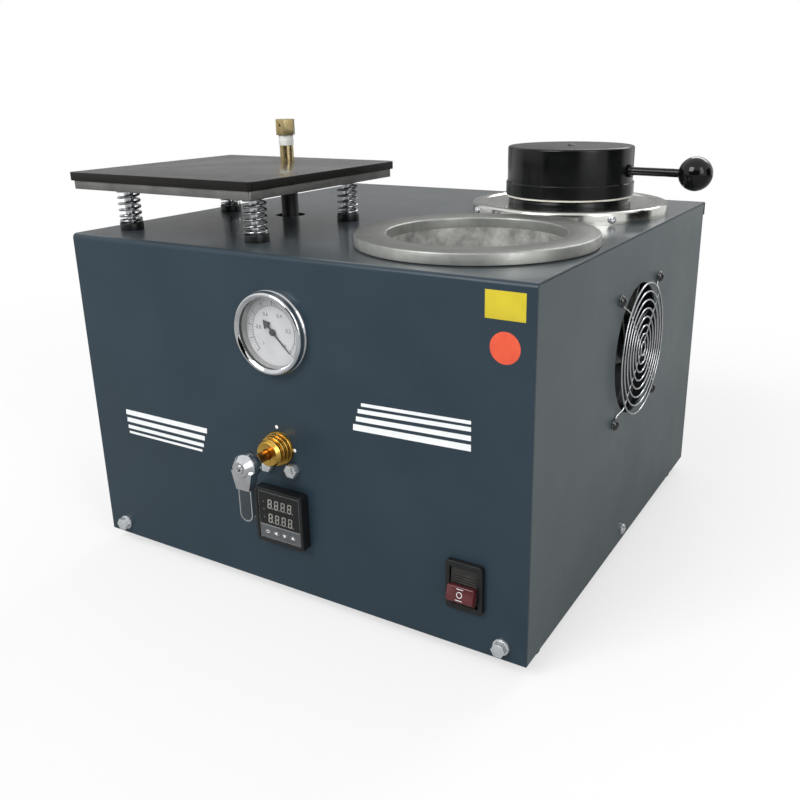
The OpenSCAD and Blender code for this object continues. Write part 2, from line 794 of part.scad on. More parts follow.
// can with a wide lip that hangs it from the deck
module furnace_can() color("#77797a") difference() {
  union() {
    at_furnace(deck - can_depth) cylinder(d = can_d, h = can_depth + can_wall);
    at_furnace(deck) cylinder(r = can_lip_r, h = can_wall);
    at_furnace(deck) tube(can_lip_r, can_lip_r - can_wall, can_rim_h);
  }
  at_furnace(deck - can_depth + can_wall) cylinder(r = lining_r, h = can_depth + 5);
  probe_hole(probe_d/2 + loose);
  dish_screw_places(can_lip_r - 10) cylinder(d = 3, h = 20);
}

module probe_hole(r) {
  at_furnace(probe_z) rotate([0, -90, 0]) cylinder(r = r, h = can_d);
}

// ceramic fibre lining, with a neck that comes up through the flange and collar
module furnace_lining() color("#eceae4") difference() {
  union() {
    at_furnace(lining_base) cylinder(r = lining_r, h = deck + can_wall - lining_base);
    at_furnace(deck) cylinder(r = neck_r, h = lining_top - deck);
  }
  at_furnace(hearth) cylinder(d = lining_bore_d, h = can_depth + 60);
  probe_hole(probe_d/2 + loose);
}

module heating_coil() color("#8c5a3c") at_furnace(hearth + coil_lift)
  wire_coil(coil_r, coil_wire, deck - coil_below - hearth - coil_lift, coil_turns, 18, 6, 0);

module crucible() color("#3a3a3c") at_furnace(hearth) {
  r = crucible_d/2;
  wall = crucible_wall;
  rotate_extrude() polygon([[0, 0], [r - 4, 0], [r, 4], [r, crucible_h],
    [r - wall, crucible_h], [r - wall, wall + 6], [r - wall - 6, wall], [0, wall]]);
}

module thermocouple() color("#b4b6b8") at_furnace(probe_z) rotate([0, -90, 0]) {
  tip = crucible_d/2 + 2;
  nut_h = probe_d;
  tail = can_d/2 + nut_h + terminal_len/2;
  translate([0, 0, tip]) cylinder(d = probe_d, h = tail + 2 - tip);
  translate([0, 0, can_d/2 + stop_gap]) hexagon(probe_d*2.2, nut_h);
  translate([0, 0, tail]) cylinder(d = terminal_d, h = terminal_len);
}

// ---- furnace lid ----

module at_handle(r) {
  at_furnace(lid_foot + handle_z) rotate(handle_angle) rotate([0, 90, 0])
    translate([0, 0, r]) children();
}

module lid_shell() color("#141516") difference() {
  r = lid_d/2;
  e = lid_edge_r;
  union() {
    at_furnace(lid_foot) rotate_extrude($fn = 120) {
      square([r, lid_h - e]);
      square([r - e, lid_h]);
      translate([r - e, lid_h - e]) circle(r = e);
    }
    at_furnace(lid_foot) cylinder(r = r + hoop_out, h = hoop_h);
  }
  at_furnace(lid_foot - 1) cylinder(r = r - lid_wall, h = lid_h - lid_wall + 1);
  at_handle(r - 15) cylinder(d = rod_d, h = 30);
}

// the lid's lining, with a lip that seals its rim on the collar
module lid_lining() color("#eceae4") difference() {
  lip = lining_top - deck - collar_top;
  union() {
    at_furnace(lid_foot) cylinder(r = lid_d/2 - lid_wall - 0.1, h = lid_h - lid_wall - 0.1);
    at_furnace(lid_foot - lip) cylinder(r = lid_d/2 + hoop_out - loose, h = lip);
  }
  at_furnace(lid_foot - lip - 1) cylinder(r = neck_r + loose, h = lip + 1);
  at_handle(lid_d/2 - 16) cylinder(d = rod_d + 0.4, h = 30);
}

// rod with a nut that pulls it against the lid's wall
module handle_rod() color("#101112") {
  at_handle(lid_d/2 - 15) cylinder(d = rod_d, h = rod_len + 15 - ball_d/2 + 5);
  at_handle(lid_d/2 + 0.2) cylinder(d = rod_d + 4, h = 2.5);
}

module ball_knob() color("#0d0d0e") difference() {
  at_handle(ball_reach) sphere(d = ball_d);
  at_handle(ball_reach - ball_d) cylinder(d = rod_d, h = ball_d/2 + 5);
}

// ---- gauge ----

gauge_case_r = gauge_d/2 - 2;
glass_r = gauge_d/2 - 3.5;
dial_front = -1.6;
dial_t = 0.8;
glass_t = 2;
glass_front = gauge_out - 2.2;

module at_gauge(out) on_front(gauge_cx, gauge_z, out) children();

module gauge_case() color("#35383a") {
  at_gauge(-gauge_depth) difference() {
    cylinder(r = gauge_case_r, h = gauge_depth + glass_front - glass_t - 0.2);
    translate([0, 0, 1.5]) cylinder(r = glass_r - 0.4, h = gauge_depth + 20);
  }
  translate([fx(gauge_cx), fy(port_y), fz(gauge_z) - gauge_case_r - gauge_port_h])
    difference() {
      cylinder(d = 13, h = gauge_port_h + 2);
      translate([0, 0, -1]) cylinder(d = 5, h = 6);
    }
}

module gauge_bezel() color("#cfd1d2") at_gauge(0) {
  r = gauge_d/2;
  lip = 4.4;
  rotate_extrude($fn = 120) {
    difference() {
      union() {
        translate([gauge_case_r + 0.1, 0]) square([r - gauge_case_r - 0.1, 2]);
        translate([gauge_case_r + 0.1, 0]) square([r - gauge_case_r - 0.9, gauge_out - 2]);
        translate([r - lip/2 - 0.8, gauge_out - lip/2]) circle(d = lip);
        translate([r - lip/2 - 0.8 - 0.6, 0]) square([1, gauge_out - lip/2]);
      }
      square([gauge_case_r + 0.1, glass_front - glass_t]);
      square([glass_r + 0.1, glass_front]);
    }
  }
}

module gauge_glass() color([0.8, 0.88, 0.9, 0.35]) at_gauge(glass_front - glass_t)
  cylinder(r = glass_r, h = glass_t);

module gauge_dial() color("#e4e1e3") at_gauge(dial_front - dial_t) difference() {
  cylinder(r = glass_r - 0.6, h = dial_t);
  translate([0, 0, -1]) cylinder(r = arbor_d/2 + running, h = 5);
}

arbor_d = 3;

// pointer at zero, low on the right; it swings back over the top as the air goes
module gauge_pointer() color("#111213") at_gauge(0) rotate(-gauge_sweep/2 + 90) {
  translate([0, 0, dial_front + 0.5]) linear_extrude(0.6) polygon([
    [-8, -1.4], [-8, 1.4], [0, 0.9], [glass_r - 7, 0.25], [glass_r - 7, -0.25], [0, -0.9]]);
  translate([0, 0, dial_front - 7]) cylinder(d = arbor_d, h = 8.5);
}

// the bent tube that the vacuum closes, and the block that holds it to the case
module gauge_tube() color("#b98b35") {
  block = gauge_case_r*0.4;
  foot = sqrt(pow(glass_r - 0.5, 2) - block*block/4);
  at_gauge(-port_y) rotate(-80) rotate_extrude(angle = 260)
    translate([gauge_case_r*0.72, 0]) circle(d = gauge_case_r*0.15);
  translate([fx(gauge_cx) - block/2, fy(port_y) - block*0.4, fz(gauge_z) - foot])
    cube([block, block*0.8, foot - gauge_case_r*0.6]);
}

gauge_port_h = 8;

// ---- vacuum valve ----

valve_nose = 6;

module bracket_bolt_places(out) {
  for (i = [-1, 1])
    on_front(valve_cx + i*bolt_pitch/2, valve_z - bolt_drop, out) children();
}

// brass block with its ports: left pump, right chamber, back table, top gauge
module valve_body() color("#a67c33") difference() {
  union() {
    on_front(valve_cx, valve_z, -port_y - valve_half) cylinder(r = valve_r, h = 2*valve_half);
    on_front(valve_cx, valve_z, -sheet - 5) cylinder(d = bonnet_hole_d, h = sheet + 5);
    valve_ports(tube_d + 4, valve_r + valve_nose, 0);
    bracket();
  }
  valve_ports(port_bore_d, valve_r + valve_nose + 5, 5);
  on_front(valve_cx, valve_z, -port_y - core_len/2)
    cylinder(d = core_d + 2*running, h = port_y + core_len);
  bracket_bolt_places(-20) cylinder(d = m6_d, h = 30);
}

// the four ports as rods from the middle of the block
module valve_ports(d, reach, past) {
  at_port = -port_y;
  on_front(valve_cx, valve_z, at_port) for (a = [0, 180]) rotate(a) rotate([0, 90, 0])
    cylinder(d = d, h = reach);
  on_front(gauge_cx, valve_z, at_port) rotate(90) rotate([0, 90, 0]) cylinder(d = d, h = reach);
  on_front(valve_cx, valve_z, at_port - valve_half - valve_nose - past)
    cylinder(d = d, h = valve_nose + 6 + past);
}

core_d = 16;
core_len = 24;

module bracket() {
  translate([fx(valve_cx - bolt_pitch/2 - 8), fy(sheet), fz(valve_z - bolt_drop - 7)])
    cube([bolt_pitch + 16, bracket_t, 14]);
  translate([fx(valve_cx - 9), fy(sheet), fz(valve_z - bolt_drop)])
    cube([18, 8, bolt_drop - core_d/2 - 1]);
}

// ribbed brass bonnet round the stem
module valve_bonnet() color("#c39a3f") on_front(valve_cx, valve_z, 0) difference() {
  rib = bonnet_len/5;
  step = 0.8;
  union() {
    for (i = [0 : 3]) translate([0, 0, rib*i]) {
      cylinder(r = bonnet_d/2 - step*i, h = rib*0.72);
      cylinder(r = bonnet_d/2 - step*i - 1.5, h = rib);
    }
    translate([0, 0, rib*4])
      cylinder(r1 = bonnet_d/2 - step*3.6, r2 = bonnet_d/2 - step*4.4, h = rib);
  }
  translate([0, 0, -1]) cylinder(r = stem_d/2 + running, h = bonnet_len + 2);
}

module valve_stem() color("#b5793e") on_front(valve_cx, valve_z, 0) difference() {
  union() {
    translate([0, 0, -sheet]) cylinder(d = stem_d, h = sheet + lever_out);
    translate([0, 0, -port_y - core_len/2 + 1])
      cylinder(d = core_d, h = port_y + core_len/2 - 1 - sheet);
  }
  translate([0, 0, -port_y]) rotate([90, 0, 0])
    cylinder(d = port_bore_d, h = core_d + 2, center = true);
}

module valve_lever() color("#c8cacc") on_front(valve_cx, valve_z, lever_out) difference() {
  union() {
    lever_hub();
    translate([0, 0, -lever_t/2]) linear_extrude(lever_t) lever_neck();
    translate([0, 0, -2]) linear_extrude(4) lever_grip();
  }
  translate([0, 0, -hub_back - 1]) cylinder(d = stem_d, h = hub_back + 1);
  cylinder(d = 4, h = 20);
  translate([0, 0, hub_front - lever_head_in]) cylinder(d = lever_head_d + 0.4, h = 20);
  translate([0, 0, -20]) linear_extrude(40) sleeve_outline();
}

lever_head_d = 7.6;

// knob shaped, with a front face narrower than its middle
module lever_hub() rotate_extrude() {
  r = hub_d/2;
  polygon([[0, -hub_back], [r*0.66, -hub_back], [r*0.9, -hub_back*0.75], [r, -hub_back*0.4],
    [r*0.96, 0], [r*0.74, hub_front*0.6], [r*0.6, hub_front], [0, hub_front]]);
}

// tapers from the hub down to the grip
module lever_neck() {
  a = hub_d/2*0.94;
  foot = -hub_d*0.85;
  polygon([[-a, -3], [a, -3], [lever_w/2, foot], [-lever_w/2, foot]]);
}

module lever_grip() {
  translate([-lever_w/2, -lever_len + lever_w/2]) square([lever_w, lever_len - lever_w]);
  translate([0, -lever_len + lever_w/2]) circle(d = lever_w);
}

// the dark insert, seen from the front
module sleeve_outline() {
  rim = 1.2;
  head = -hub_d*0.9;
  foot = -lever_len + lever_w/2;
  translate([-lever_w/2 + rim, foot]) square([lever_w - 2*rim, head - foot]);
  translate([0, foot]) circle(d = lever_w - 2*rim);
}

module lever_sleeve() color("#2b2e31") on_front(valve_cx, valve_z, lever_out)
  translate([0, 0, -2.6]) linear_extrude(5.2) sleeve_outline();

module lever_screw() color("#d9dbdc") on_front(valve_cx, valve_z, lever_out) difference() {
  union() {
    cylinder(d = 4, h = hub_front);
    translate([0, 0, hub_front - lever_head_in]) cylinder(d = lever_head_d, h = lever_head_h);
  }
  translate([0, 0, hub_front - 1.4]) hexagon(3.4, 4);
}

// ---- temperature controller ----

module at_ctrl(out) on_front(mid_x + ctrl_x, ctrl_z, out) children();

module controller_case() color("#17191b") {
  at_ctrl(0) difference() {
    linear_extrude(ctrl_out) round_rect(ctrl_side, ctrl_side, 2);
    translate([0, 0, ctrl_out - face_in - face_t]) linear_extrude(5)
      square(face_side + 0.2, center = true);
    for (x = key_x) translate([x, key_z, ctrl_out - face_in - face_t - key_travel - 0.5])
      linear_extrude(5) square([key_w + 0.6, key_h + 0.6], center = true);
  }
  at_ctrl(-ctrl_depth) linear_extrude(ctrl_depth) square(body_side, center = true);
}

face_side = ctrl_side - 6;

// window and key strip, with a hole for each key
module controller_face() color("#2a2c2e") at_ctrl(ctrl_out - face_in - face_t)
  linear_extrude(face_t) difference() {
    square(face_side, center = true);
    for (x = key_x) translate([x, key_z]) square([key_w + 2*key_gap, key_h + 2*key_gap], center = true);
  }

module controller_key(i) color("#3c3f42")
  at_ctrl(ctrl_out - face_in - face_t - 0.2) translate([key_x[i], key_z, 0])
    linear_extrude(face_t + 0.4) square([key_w, key_h], center = true);

// ---- rocker switch ----

module at_switch(out) on_front(switch_x, switch_z, out) children();

rocker_pivot_in = 3;
rocker_half = switch_h/2 - 6.5;
rocker_w = switch_w - 8;
pin_r = 1.5;

module switch_housing() color("#141517") difference() {
  union() {
    at_switch(0) linear_extrude(4.5) round_rect(switch_w, switch_h, 3);
    at_switch(-28) linear_extrude(28) square([switch_w - 4, switch_h - 4], center = true);
  }
  at_switch(-13) linear_extrude(40)
    square([rocker_w + 1, 2*rocker_half + 4], center = true);
  at_switch(-rocker_pivot_in) rotate([0, 90, 0])
    cylinder(r = pin_r + running, h = rocker_w + 6, center = true);
}

// shallow vee rocker on its pin, its foot standing out
module switch_rocker() color("#5a2a2c") at_switch(-rocker_pivot_in) {
  h = rocker_half;
  rotate([-rocker_tilt, 0, 0]) translate([rocker_w/2, 0, 0]) rotate([0, -90, 0])
    linear_extrude(rocker_w) polygon([[-5, -h + 3], [8, -h], [6.5, 0], [8, h], [-5, h - 3]]);
  rotate([0, 90, 0]) cylinder(r = pin_r, h = rocker_w + 3, center = true);
}

// ---- fan ----

fan_screw_d = 4;
fan_head_r = 5.2;

module fan_screw_places(out) {
  for (i = [-1, 1], j = [-1, 1])
    on_right(fan_y + i*fan_pitch/2, fan_z + j*fan_pitch/2, out) children();
}

module fan_screws() color("#202426") fan_screw_places(guard_wire) {
  intersection() {
    translate([0, 0, -fan_head_r*0.3]) sphere(r = fan_head_r);
    cylinder(r = fan_head_r + 1, h = fan_head_r*2);
  }
  translate([0, 0, -fan_t]) cylinder(d = fan_screw_d, h = fan_t);
}

// wire guard: rings on four legs that slope down to screw eyes
module fan_guard() color("#c9cbcc") on_right(fan_y, fan_z, 0) {
  pitch = (guard_d/2 - guard_wire/2 - guard_first)/(guard_rings - 1);
  for (i = [0 : guard_rings - 1]) translate([0, 0, guard_rise + guard_wire*0.6])
    rotate_extrude() translate([guard_first + i*pitch, 0]) circle(d = guard_wire, $fn = 24);
  for (a = [45 : 90 : 315]) rotate(a) guard_leg();
}

guard_rise = 3*guard_wire;
guard_first = 6;

// one leg: under the rings, then down to its eye
module guard_leg() {
  eye = fan_pitch/sqrt(2);
  eye_r = fan_screw_d/2 + loose;
  run = eye - guard_d/2 - fan_head_r - 1;
  drop = guard_rise - guard_wire/2;
  translate([guard_first - 0.3, 0, guard_rise]) rotate([0, 90, 0])
    cylinder(d = guard_wire, h = guard_d/2 - guard_first + 0.6);
  translate([guard_d/2, 0, guard_rise]) {
    rotate([0, 90 + atan2(drop, run), 0])
      cylinder(d = guard_wire*0.9, h = sqrt(run*run + drop*drop));
    sphere(d = guard_wire*1.3);
  }
  translate([eye - fan_head_r - 1, 0, guard_wire/2]) {
    sphere(d = guard_wire*1.1);
    rotate([0, 90, 0]) cylinder(d = guard_wire*0.8, h = fan_head_r + 1 - eye_r - guard_wire/2);
  }
  translate([eye, 0, 0]) tube(eye_r + guard_wire, eye_r, guard_wire);
}

module fan_frame() color("#15171a") on_right(fan_y, fan_z, -sheet - fan_t) {
  bore = fan_side/2 - 3;
  difference() {
    linear_extrude(fan_t) round_rect(fan_side, fan_side, 6);
    translate([0, 0, -1]) cylinder(r = bore, h = fan_t + 2);
    for (i = [-1, 1], j = [-1, 1]) translate([i*fan_pitch/2, j*fan_pitch/2, -1])
      cylinder(d = fan_screw_d, h = fan_t + 2);
  }
  difference() {
    union() {
      cylinder(r = fan_hub_r, h = 3);
      for (a = [0 : 90 : 270]) rotate(a + 20)
        translate([fan_hub_r - 2, -2.5, 0]) cube([bore - fan_hub_r + 3, 5, 3]);
      cylinder(r = 6, h = 8);
    }
    translate([0, 0, -1]) cylinder(r = fan_pin_r + running, h = 10);
  }
}

fan_hub_r = 19;
fan_pin_r = 2;

module fan_impeller() color("#1a1c1f") on_right(fan_y, fan_z, -sheet - fan_t) {
  tip = fan_side/2 - 4.5;
  face = fan_t - 2;
  difference() {
    translate([0, 0, 3.6]) cylinder(r = fan_hub_r, h = face - 3.6);
    translate([0, 0, 3]) cylinder(r = fan_hub_r - 2.5, h = face - 5);
  }
  translate([0, 0, 0.5]) cylinder(r = fan_pin_r, h = face - 1);
  intersection() {
    for (i = [0 : fan_blades - 1]) rotate(360*i/fan_blades)
      translate([fan_hub_r - 2, 0, face/2 + 2]) rotate([34, 0, 0])
        translate([0, -15, -0.8]) cube([tip, 30, 1.6]);
    translate([0, 0, 4.5]) tube(tip, fan_hub_r - 1, face - 5.5);
  }
}

// ---- vacuum pump ----

pump_block = 96;
rotor_r = 24;
rotor_off = 4;

module at_pump(x) translate([fx(pump_x + x), fy(pump_y), fz(pump_z)]) rotate([0, 90, 0]) children();

// motor with its feet on the tray, its shaft hole through both end bells
module pump_motor() color("#4d555b") {
  difference() {
    union() {
      at_pump(pump_len + 0.5) cylinder(d = motor_d, h = motor_len);
      for (i = [0 : 7]) at_pump(pump_len + 16 + i*(motor_len - 32)/7)
        tube(motor_d/2 + 3, motor_d/2 - 1, 2);
      translate([fx(pump_x + pump_len + 14), fy(pump_y) - motor_d/2, fz(sheet)])
        cube([motor_len - 28, motor_d, 8]);
      translate([fx(pump_x + pump_len + 14), fy(pump_y) - motor_d*0.3, fz(sheet)])
        cube([motor_len - 28, motor_d*0.6, pump_z - motor_d/2 + 8]);
    }
    at_pump(0) cylinder(r = shaft_d/2 + running, h = pump_len + motor_len + 30);
    at_pump(pump_len + 8) cylinder(r = motor_d/2 - 12, h = motor_len - 16);
  }
}

// square pump block with an eccentric chamber, an inlet stub and an exhaust filter
module pump_body() color("#7c8488") {
  difference() {
    union() {
      at_pump(0) linear_extrude(pump_len) round_rect(pump_block, pump_block, 8);
      translate([fx(pump_x + pump_len/2), fy(pump_y - pump_block/2 + 10), line_z])
        rotate([90, 0, 0]) cylinder(d = tube_d + 4, h = 16);
      translate([fx(pump_x + pump_len/2), fy(pump_y), fz(pump_z) + pump_block/2 - 0.5])
        cylinder(d = 34, h = 40);
    }
    at_pump(10) translate([rotor_off, 0, 0]) cylinder(r = rotor_r + rotor_off + 0.3, h = pump_len - 20);
    at_pump(pump_len - 15) cylinder(r = shaft_d/2 + running, h = 20);
  }
}

// rotor with its slots and shaft, the shaft through the motor and a cooling fan on its end
module pump_rotor() color("#9fa4a7") {
  difference() {
    at_pump(10.3) cylinder(r = rotor_r, h = pump_len - 20.6);
    for (a = [0, 120, 240]) at_pump(0) rotate(a) translate([rotor_r - 14, -1.5, 0]) cube([20, 3, pump_len]);
  }
  at_pump(pump_len - 12) cylinder(d = shaft_d, h = motor_len + 40);
  at_pump(pump_len + 8.5) cylinder(r = motor_d/2 - 14, h = motor_len - 17);
  at_pump(pump_len + motor_len + 8) {
    cylinder(r = 14, h = 14);
    for (i = [0 : 5]) rotate(60*i) translate([12, -1, 0]) cube([motor_d/2 - 18, 2, 14]);
  }
}

// ---- cable gland ----

module cable_gland() color("#17181a")
  translate([fx(gland_x), fy(box_d), fz(gland_z)]) rotate([-90, 0, 0]) difference() {
    union() {
      translate([0, 0, -12]) cylinder(d = gland_d, h = 14);
      hexagon(24, gland_hex_h);
      translate([0, 0, gland_hex_h]) cylinder(r1 = 11, r2 = 8, h = gland_out - gland_hex_h);
      translate([0, 0, -sheet - gland_hex_h - 0.1]) hexagon(24, gland_hex_h);
    }
    translate([0, 0, -20]) cylinder(d = 8, h = 50);
  }

front_top_cover();
left_side_panel();
right_side_panel();
back_panel();
base_tray();
rubber_feet();
pan_screws();
hex_bolts();
table_plate();
rubber_pad();
table_springs();
spring_seats();
guide_pins();
vacuum_spud();
spud_cap();
table_hose();
hose_clamp();
chamber_flange();
chamber_gasket();
chamber_pot();
vacuum_lines();
furnace_flange();
furnace_collar();
furnace_can();
furnace_lining();
heating_coil();
crucible();
thermocouple();
lid_shell();
lid_lining();
handle_rod();
ball_knob();
gauge_case();
gauge_bezel();
gauge_glass();
gauge_dial();
gauge_pointer();
gauge_tube();
valve_body();
valve_bonnet();
valve_stem();
valve_lever();
lever_sleeve();
lever_screw();
controller_case();
controller_face();
controller_key(0);  // key_set
controller_key(1);  // key_shift
controller_key(2);  // key_down
controller_key(3);  // key_up
switch_housing();
switch_rocker();
fan_guard();
fan_frame();
fan_impeller();
fan_screws();
pump_motor();
pump_body();
pump_rotor();
cable_gland();
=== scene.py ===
# Bench machine for vacuum investing and casting: its finishes, its printed marks and the
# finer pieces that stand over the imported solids. Sizes in the dictionaries are millimetres.
import json
import math

import bpy
from mathutils import Matrix, Vector

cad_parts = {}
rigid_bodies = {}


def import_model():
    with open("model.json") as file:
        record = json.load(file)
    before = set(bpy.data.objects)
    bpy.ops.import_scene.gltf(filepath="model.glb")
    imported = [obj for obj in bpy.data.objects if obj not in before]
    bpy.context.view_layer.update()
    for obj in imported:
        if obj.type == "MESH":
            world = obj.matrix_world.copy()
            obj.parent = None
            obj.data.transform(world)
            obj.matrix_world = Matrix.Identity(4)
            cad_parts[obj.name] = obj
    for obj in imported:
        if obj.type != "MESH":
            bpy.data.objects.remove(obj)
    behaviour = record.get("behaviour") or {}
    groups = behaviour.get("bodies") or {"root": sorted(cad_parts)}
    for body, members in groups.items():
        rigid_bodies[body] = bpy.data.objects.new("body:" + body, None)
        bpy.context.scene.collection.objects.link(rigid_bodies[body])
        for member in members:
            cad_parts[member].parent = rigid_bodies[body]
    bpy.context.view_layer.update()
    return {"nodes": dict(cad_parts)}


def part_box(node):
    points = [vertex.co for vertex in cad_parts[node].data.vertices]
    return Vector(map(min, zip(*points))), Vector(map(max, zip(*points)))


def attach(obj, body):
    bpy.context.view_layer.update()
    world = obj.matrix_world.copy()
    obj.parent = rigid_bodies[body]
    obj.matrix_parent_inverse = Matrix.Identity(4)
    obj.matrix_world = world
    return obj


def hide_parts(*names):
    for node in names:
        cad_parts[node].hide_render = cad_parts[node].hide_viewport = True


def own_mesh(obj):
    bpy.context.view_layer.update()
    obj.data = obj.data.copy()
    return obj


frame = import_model()
nodes = frame["nodes"]
mm = 0.001
pole = 0.01  # a turned ring this small is merged into one point on the axis
finishes = {}

# how meshes are finished: the angles in degrees, the gaps in millimetres
making = {
    "bevelFrom": 30, "smoothBelow": 35, "tubeSmooth": 60, "mergeGap": 0.01, "fineGap": 0.002,
    "flatBelow": 0.3,
}

# the case's own corner: its left side, its front panel and its underside
caseCorner = Vector((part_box("left_side_panel")[0].x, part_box("front_top_cover")[0].y,
                     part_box("left_side_panel")[0].z))
print("frame loaded:", len(nodes), "nodes")


# places on the case, counted as in the part's source

def onCase(x, y, z):
    return Matrix.Translation(caseCorner + Vector((x, y, z)) * mm)


def onFront(x, z, out=0.0):  # local Z points out of the front panel, local Y up
    return onCase(x, -out, z) @ Matrix.Rotation(math.radians(90), 4, "X")


def onRight(y, z):  # local Z points out of the right side
    side = (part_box("right_side_panel")[1].x - caseCorner.x) / mm
    return onCase(side, y, z) @ Matrix.Rotation(math.radians(90), 4, "Y")


def middleOf(node):
    low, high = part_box(node)
    return (low + high) / 2


# modelling

def deselectAll():
    if bpy.context.object and bpy.context.object.mode != "OBJECT":
        bpy.ops.object.mode_set(mode="OBJECT")
    for other in bpy.context.view_layer.objects:
        other.select_set(False)


def makeActive(piece):
    deselectAll()
    piece.select_set(True)
    bpy.context.view_layer.objects.active = piece


def applyModifiers(piece):
    makeActive(piece)
    for modifier in list(piece.modifiers):
        bpy.ops.object.modifier_apply(modifier=modifier.name)


def bevelled(piece, width, segments=3):
    bevel = piece.modifiers.new("Bevel", "BEVEL")
    bevel.width = width * mm
    bevel.segments = segments
    bevel.limit_method = "ANGLE"
    bevel.angle_limit = math.radians(making["bevelFrom"])
    applyModifiers(piece)
    return piece


def smoothed(piece, angle=making["smoothBelow"]):
    makeActive(piece)
    bpy.ops.object.shade_smooth_by_angle(angle=math.radians(angle))
    return piece


def placed(piece, matrix):  # puts the place into the mesh and leaves the object at the origin
    piece.data.transform(matrix @ piece.matrix_world)
    piece.matrix_world = Matrix.Identity(4)
    return piece


def joined(name, parts):
    makeActive(parts[0])
    for part in parts[1:]:
        part.select_set(True)
    if len(parts) > 1:
        bpy.ops.object.join()
    parts[0].name = name
    parts[0].data.name = name
    return parts[0]


def cleaned(piece, gap=making["mergeGap"]):
    makeActive(piece)
    bpy.ops.object.mode_set(mode="EDIT")
    bpy.ops.mesh.select_all(action="SELECT")
    bpy.ops.mesh.remove_doubles(threshold=gap * mm)
    bpy.ops.mesh.normals_make_consistent(inside=False)
    bpy.ops.object.mode_set(mode="OBJECT")
    return piece


# a ring is added, then extruded and scaled from one (radius, height) to the next
def turned(name, rings, steps, closed=False, smooth=making["smoothBelow"]):
    deselectAll()
    radius, height = rings[0]
    bpy.ops.mesh.primitive_circle_add(vertices=steps, radius=radius * mm)
    piece = bpy.context.object
    bpy.ops.object.mode_set(mode="EDIT")
    bpy.ops.mesh.select_all(action="SELECT")
    bpy.ops.transform.translate(value=(0, 0, height * mm))
    for nextRadius, nextHeight in rings[1:] + (rings[:1] if closed else []):
        bpy.ops.mesh.extrude_region_move(
            TRANSFORM_OT_translate={"value": (0, 0, (nextHeight - height) * mm)})
        share = nextRadius / radius
        bpy.ops.transform.resize(value=(share, share, 1), center_override=(0, 0, 0))
        radius, height = nextRadius, nextHeight
    bpy.ops.object.mode_set(mode="OBJECT")
    piece.name = name
    piece.data.name = name
    return smoothed(cleaned(piece), smooth)


def boxed(name, size, centre=(0, 0, 0), edge=0.0, segments=3):
    deselectAll()
    bpy.ops.mesh.primitive_cube_add(size=1)
    piece = bpy.context.object
    piece.name = name
    placed(piece, Matrix.Translation(Vector(centre) * mm)
           @ Matrix.Diagonal((*[s * mm for s in size], 1)))
    if edge:
        bevelled(piece, edge, segments)
    return smoothed(piece)


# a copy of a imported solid, its triangles merged, its edges broken by a real radius
def softened(name, node, edge, segments):
    piece = bpy.data.objects.new(name, nodes[node].data.copy())
    bpy.context.scene.collection.objects.link(piece)
    makeActive(piece)
    bpy.ops.mesh.customdata_custom_splitnormals_clear()
    bpy.ops.object.mode_set(mode="EDIT")
    bpy.ops.mesh.select_all(action="SELECT")
    bpy.ops.mesh.remove_doubles(threshold=making["fineGap"] * mm)
    bpy.ops.mesh.dissolve_limited(angle_limit=math.radians(making["flatBelow"]))
    bpy.ops.object.mode_set(mode="OBJECT")
    bevelled(piece, edge, segments)
    return smoothed(piece)


# a wire or tube of round section on a curve through the points
def tubeAlong(name, points, radius, sides):
    deselectAll()
    bpy.ops.curve.primitive_nurbs_path_add()
    piece = bpy.context.object
    piece.name = name
    curve = piece.data
    curve.splines.clear()
    spline = curve.splines.new("NURBS")
    spline.points.add(len(points) - 1)
    for point, place in zip(spline.points, points):
        point.co = (*[c * mm for c in place], 1)
    spline.use_endpoint_u = True
    spline.order_u = 3
    curve.bevel_depth = radius * mm
    curve.bevel_resolution = sides
    curve.use_fill_caps = True
    curve.resolution_u = 3
    bpy.ops.object.convert(target="MESH")
    return smoothed(cleaned(bpy.context.object, making["fineGap"]), making["tubeSmooth"])


def lettered(name, words, height, thick, place):
    deselectAll()
    bpy.ops.object.text_add()
    piece = bpy.context.object
    piece.data.body = words
    piece.data.align_x = "CENTER"
    piece.data.align_y = "CENTER"
    piece.data.size = height * mm
    piece.data.extrude = thick * mm / 2
    bpy.ops.object.convert(target="MESH")
    piece = bpy.context.object
    piece.name = name
    return placed(piece, place)


def dressed(piece, material, body, slot, *stoodFor):
    piece.data.materials.clear()
    piece.data.materials.append(material)
    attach(piece, body)
    if stoodFor:
        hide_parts(*stoodFor)
    return piece


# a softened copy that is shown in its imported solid's place
def refined(name, node, material, body, slot, edge, segments=3):
    return dressed(softened(name, node, edge, segments), material, body, slot, node)


# materials

def linear(code):  # an sRGB hex colour in linear values
    knee, low, offset = 0.04045, 12.92, 0.055
    parts = [int(code[i:i + 2], 16) / 255 for i in (1, 3, 5)]
    return (*[p / low if p <= knee else ((p + offset) / (1 + offset)) ** 2.4 for p in parts], 1)


def addNode(tree, kind, inputs=None, **settings):
    node = tree.nodes.new(kind)
    for key, value in settings.items():
        setattr(node, key, value)
    for key, value in (inputs or {}).items():
        if isinstance(value, bpy.types.NodeSocket):
            tree.links.new(value, node.inputs[key])
        else:
            node.inputs[key].default_value = value
    return node


# where noise turns from tone to tone and from smooth to dull, and which faces count as level for the
# painted light on them
shading = {"patches": (0.32, 0.68), "dull": (0.7, 1.3), "level": (0.8, 0.98), "turnShare": 0.0015}
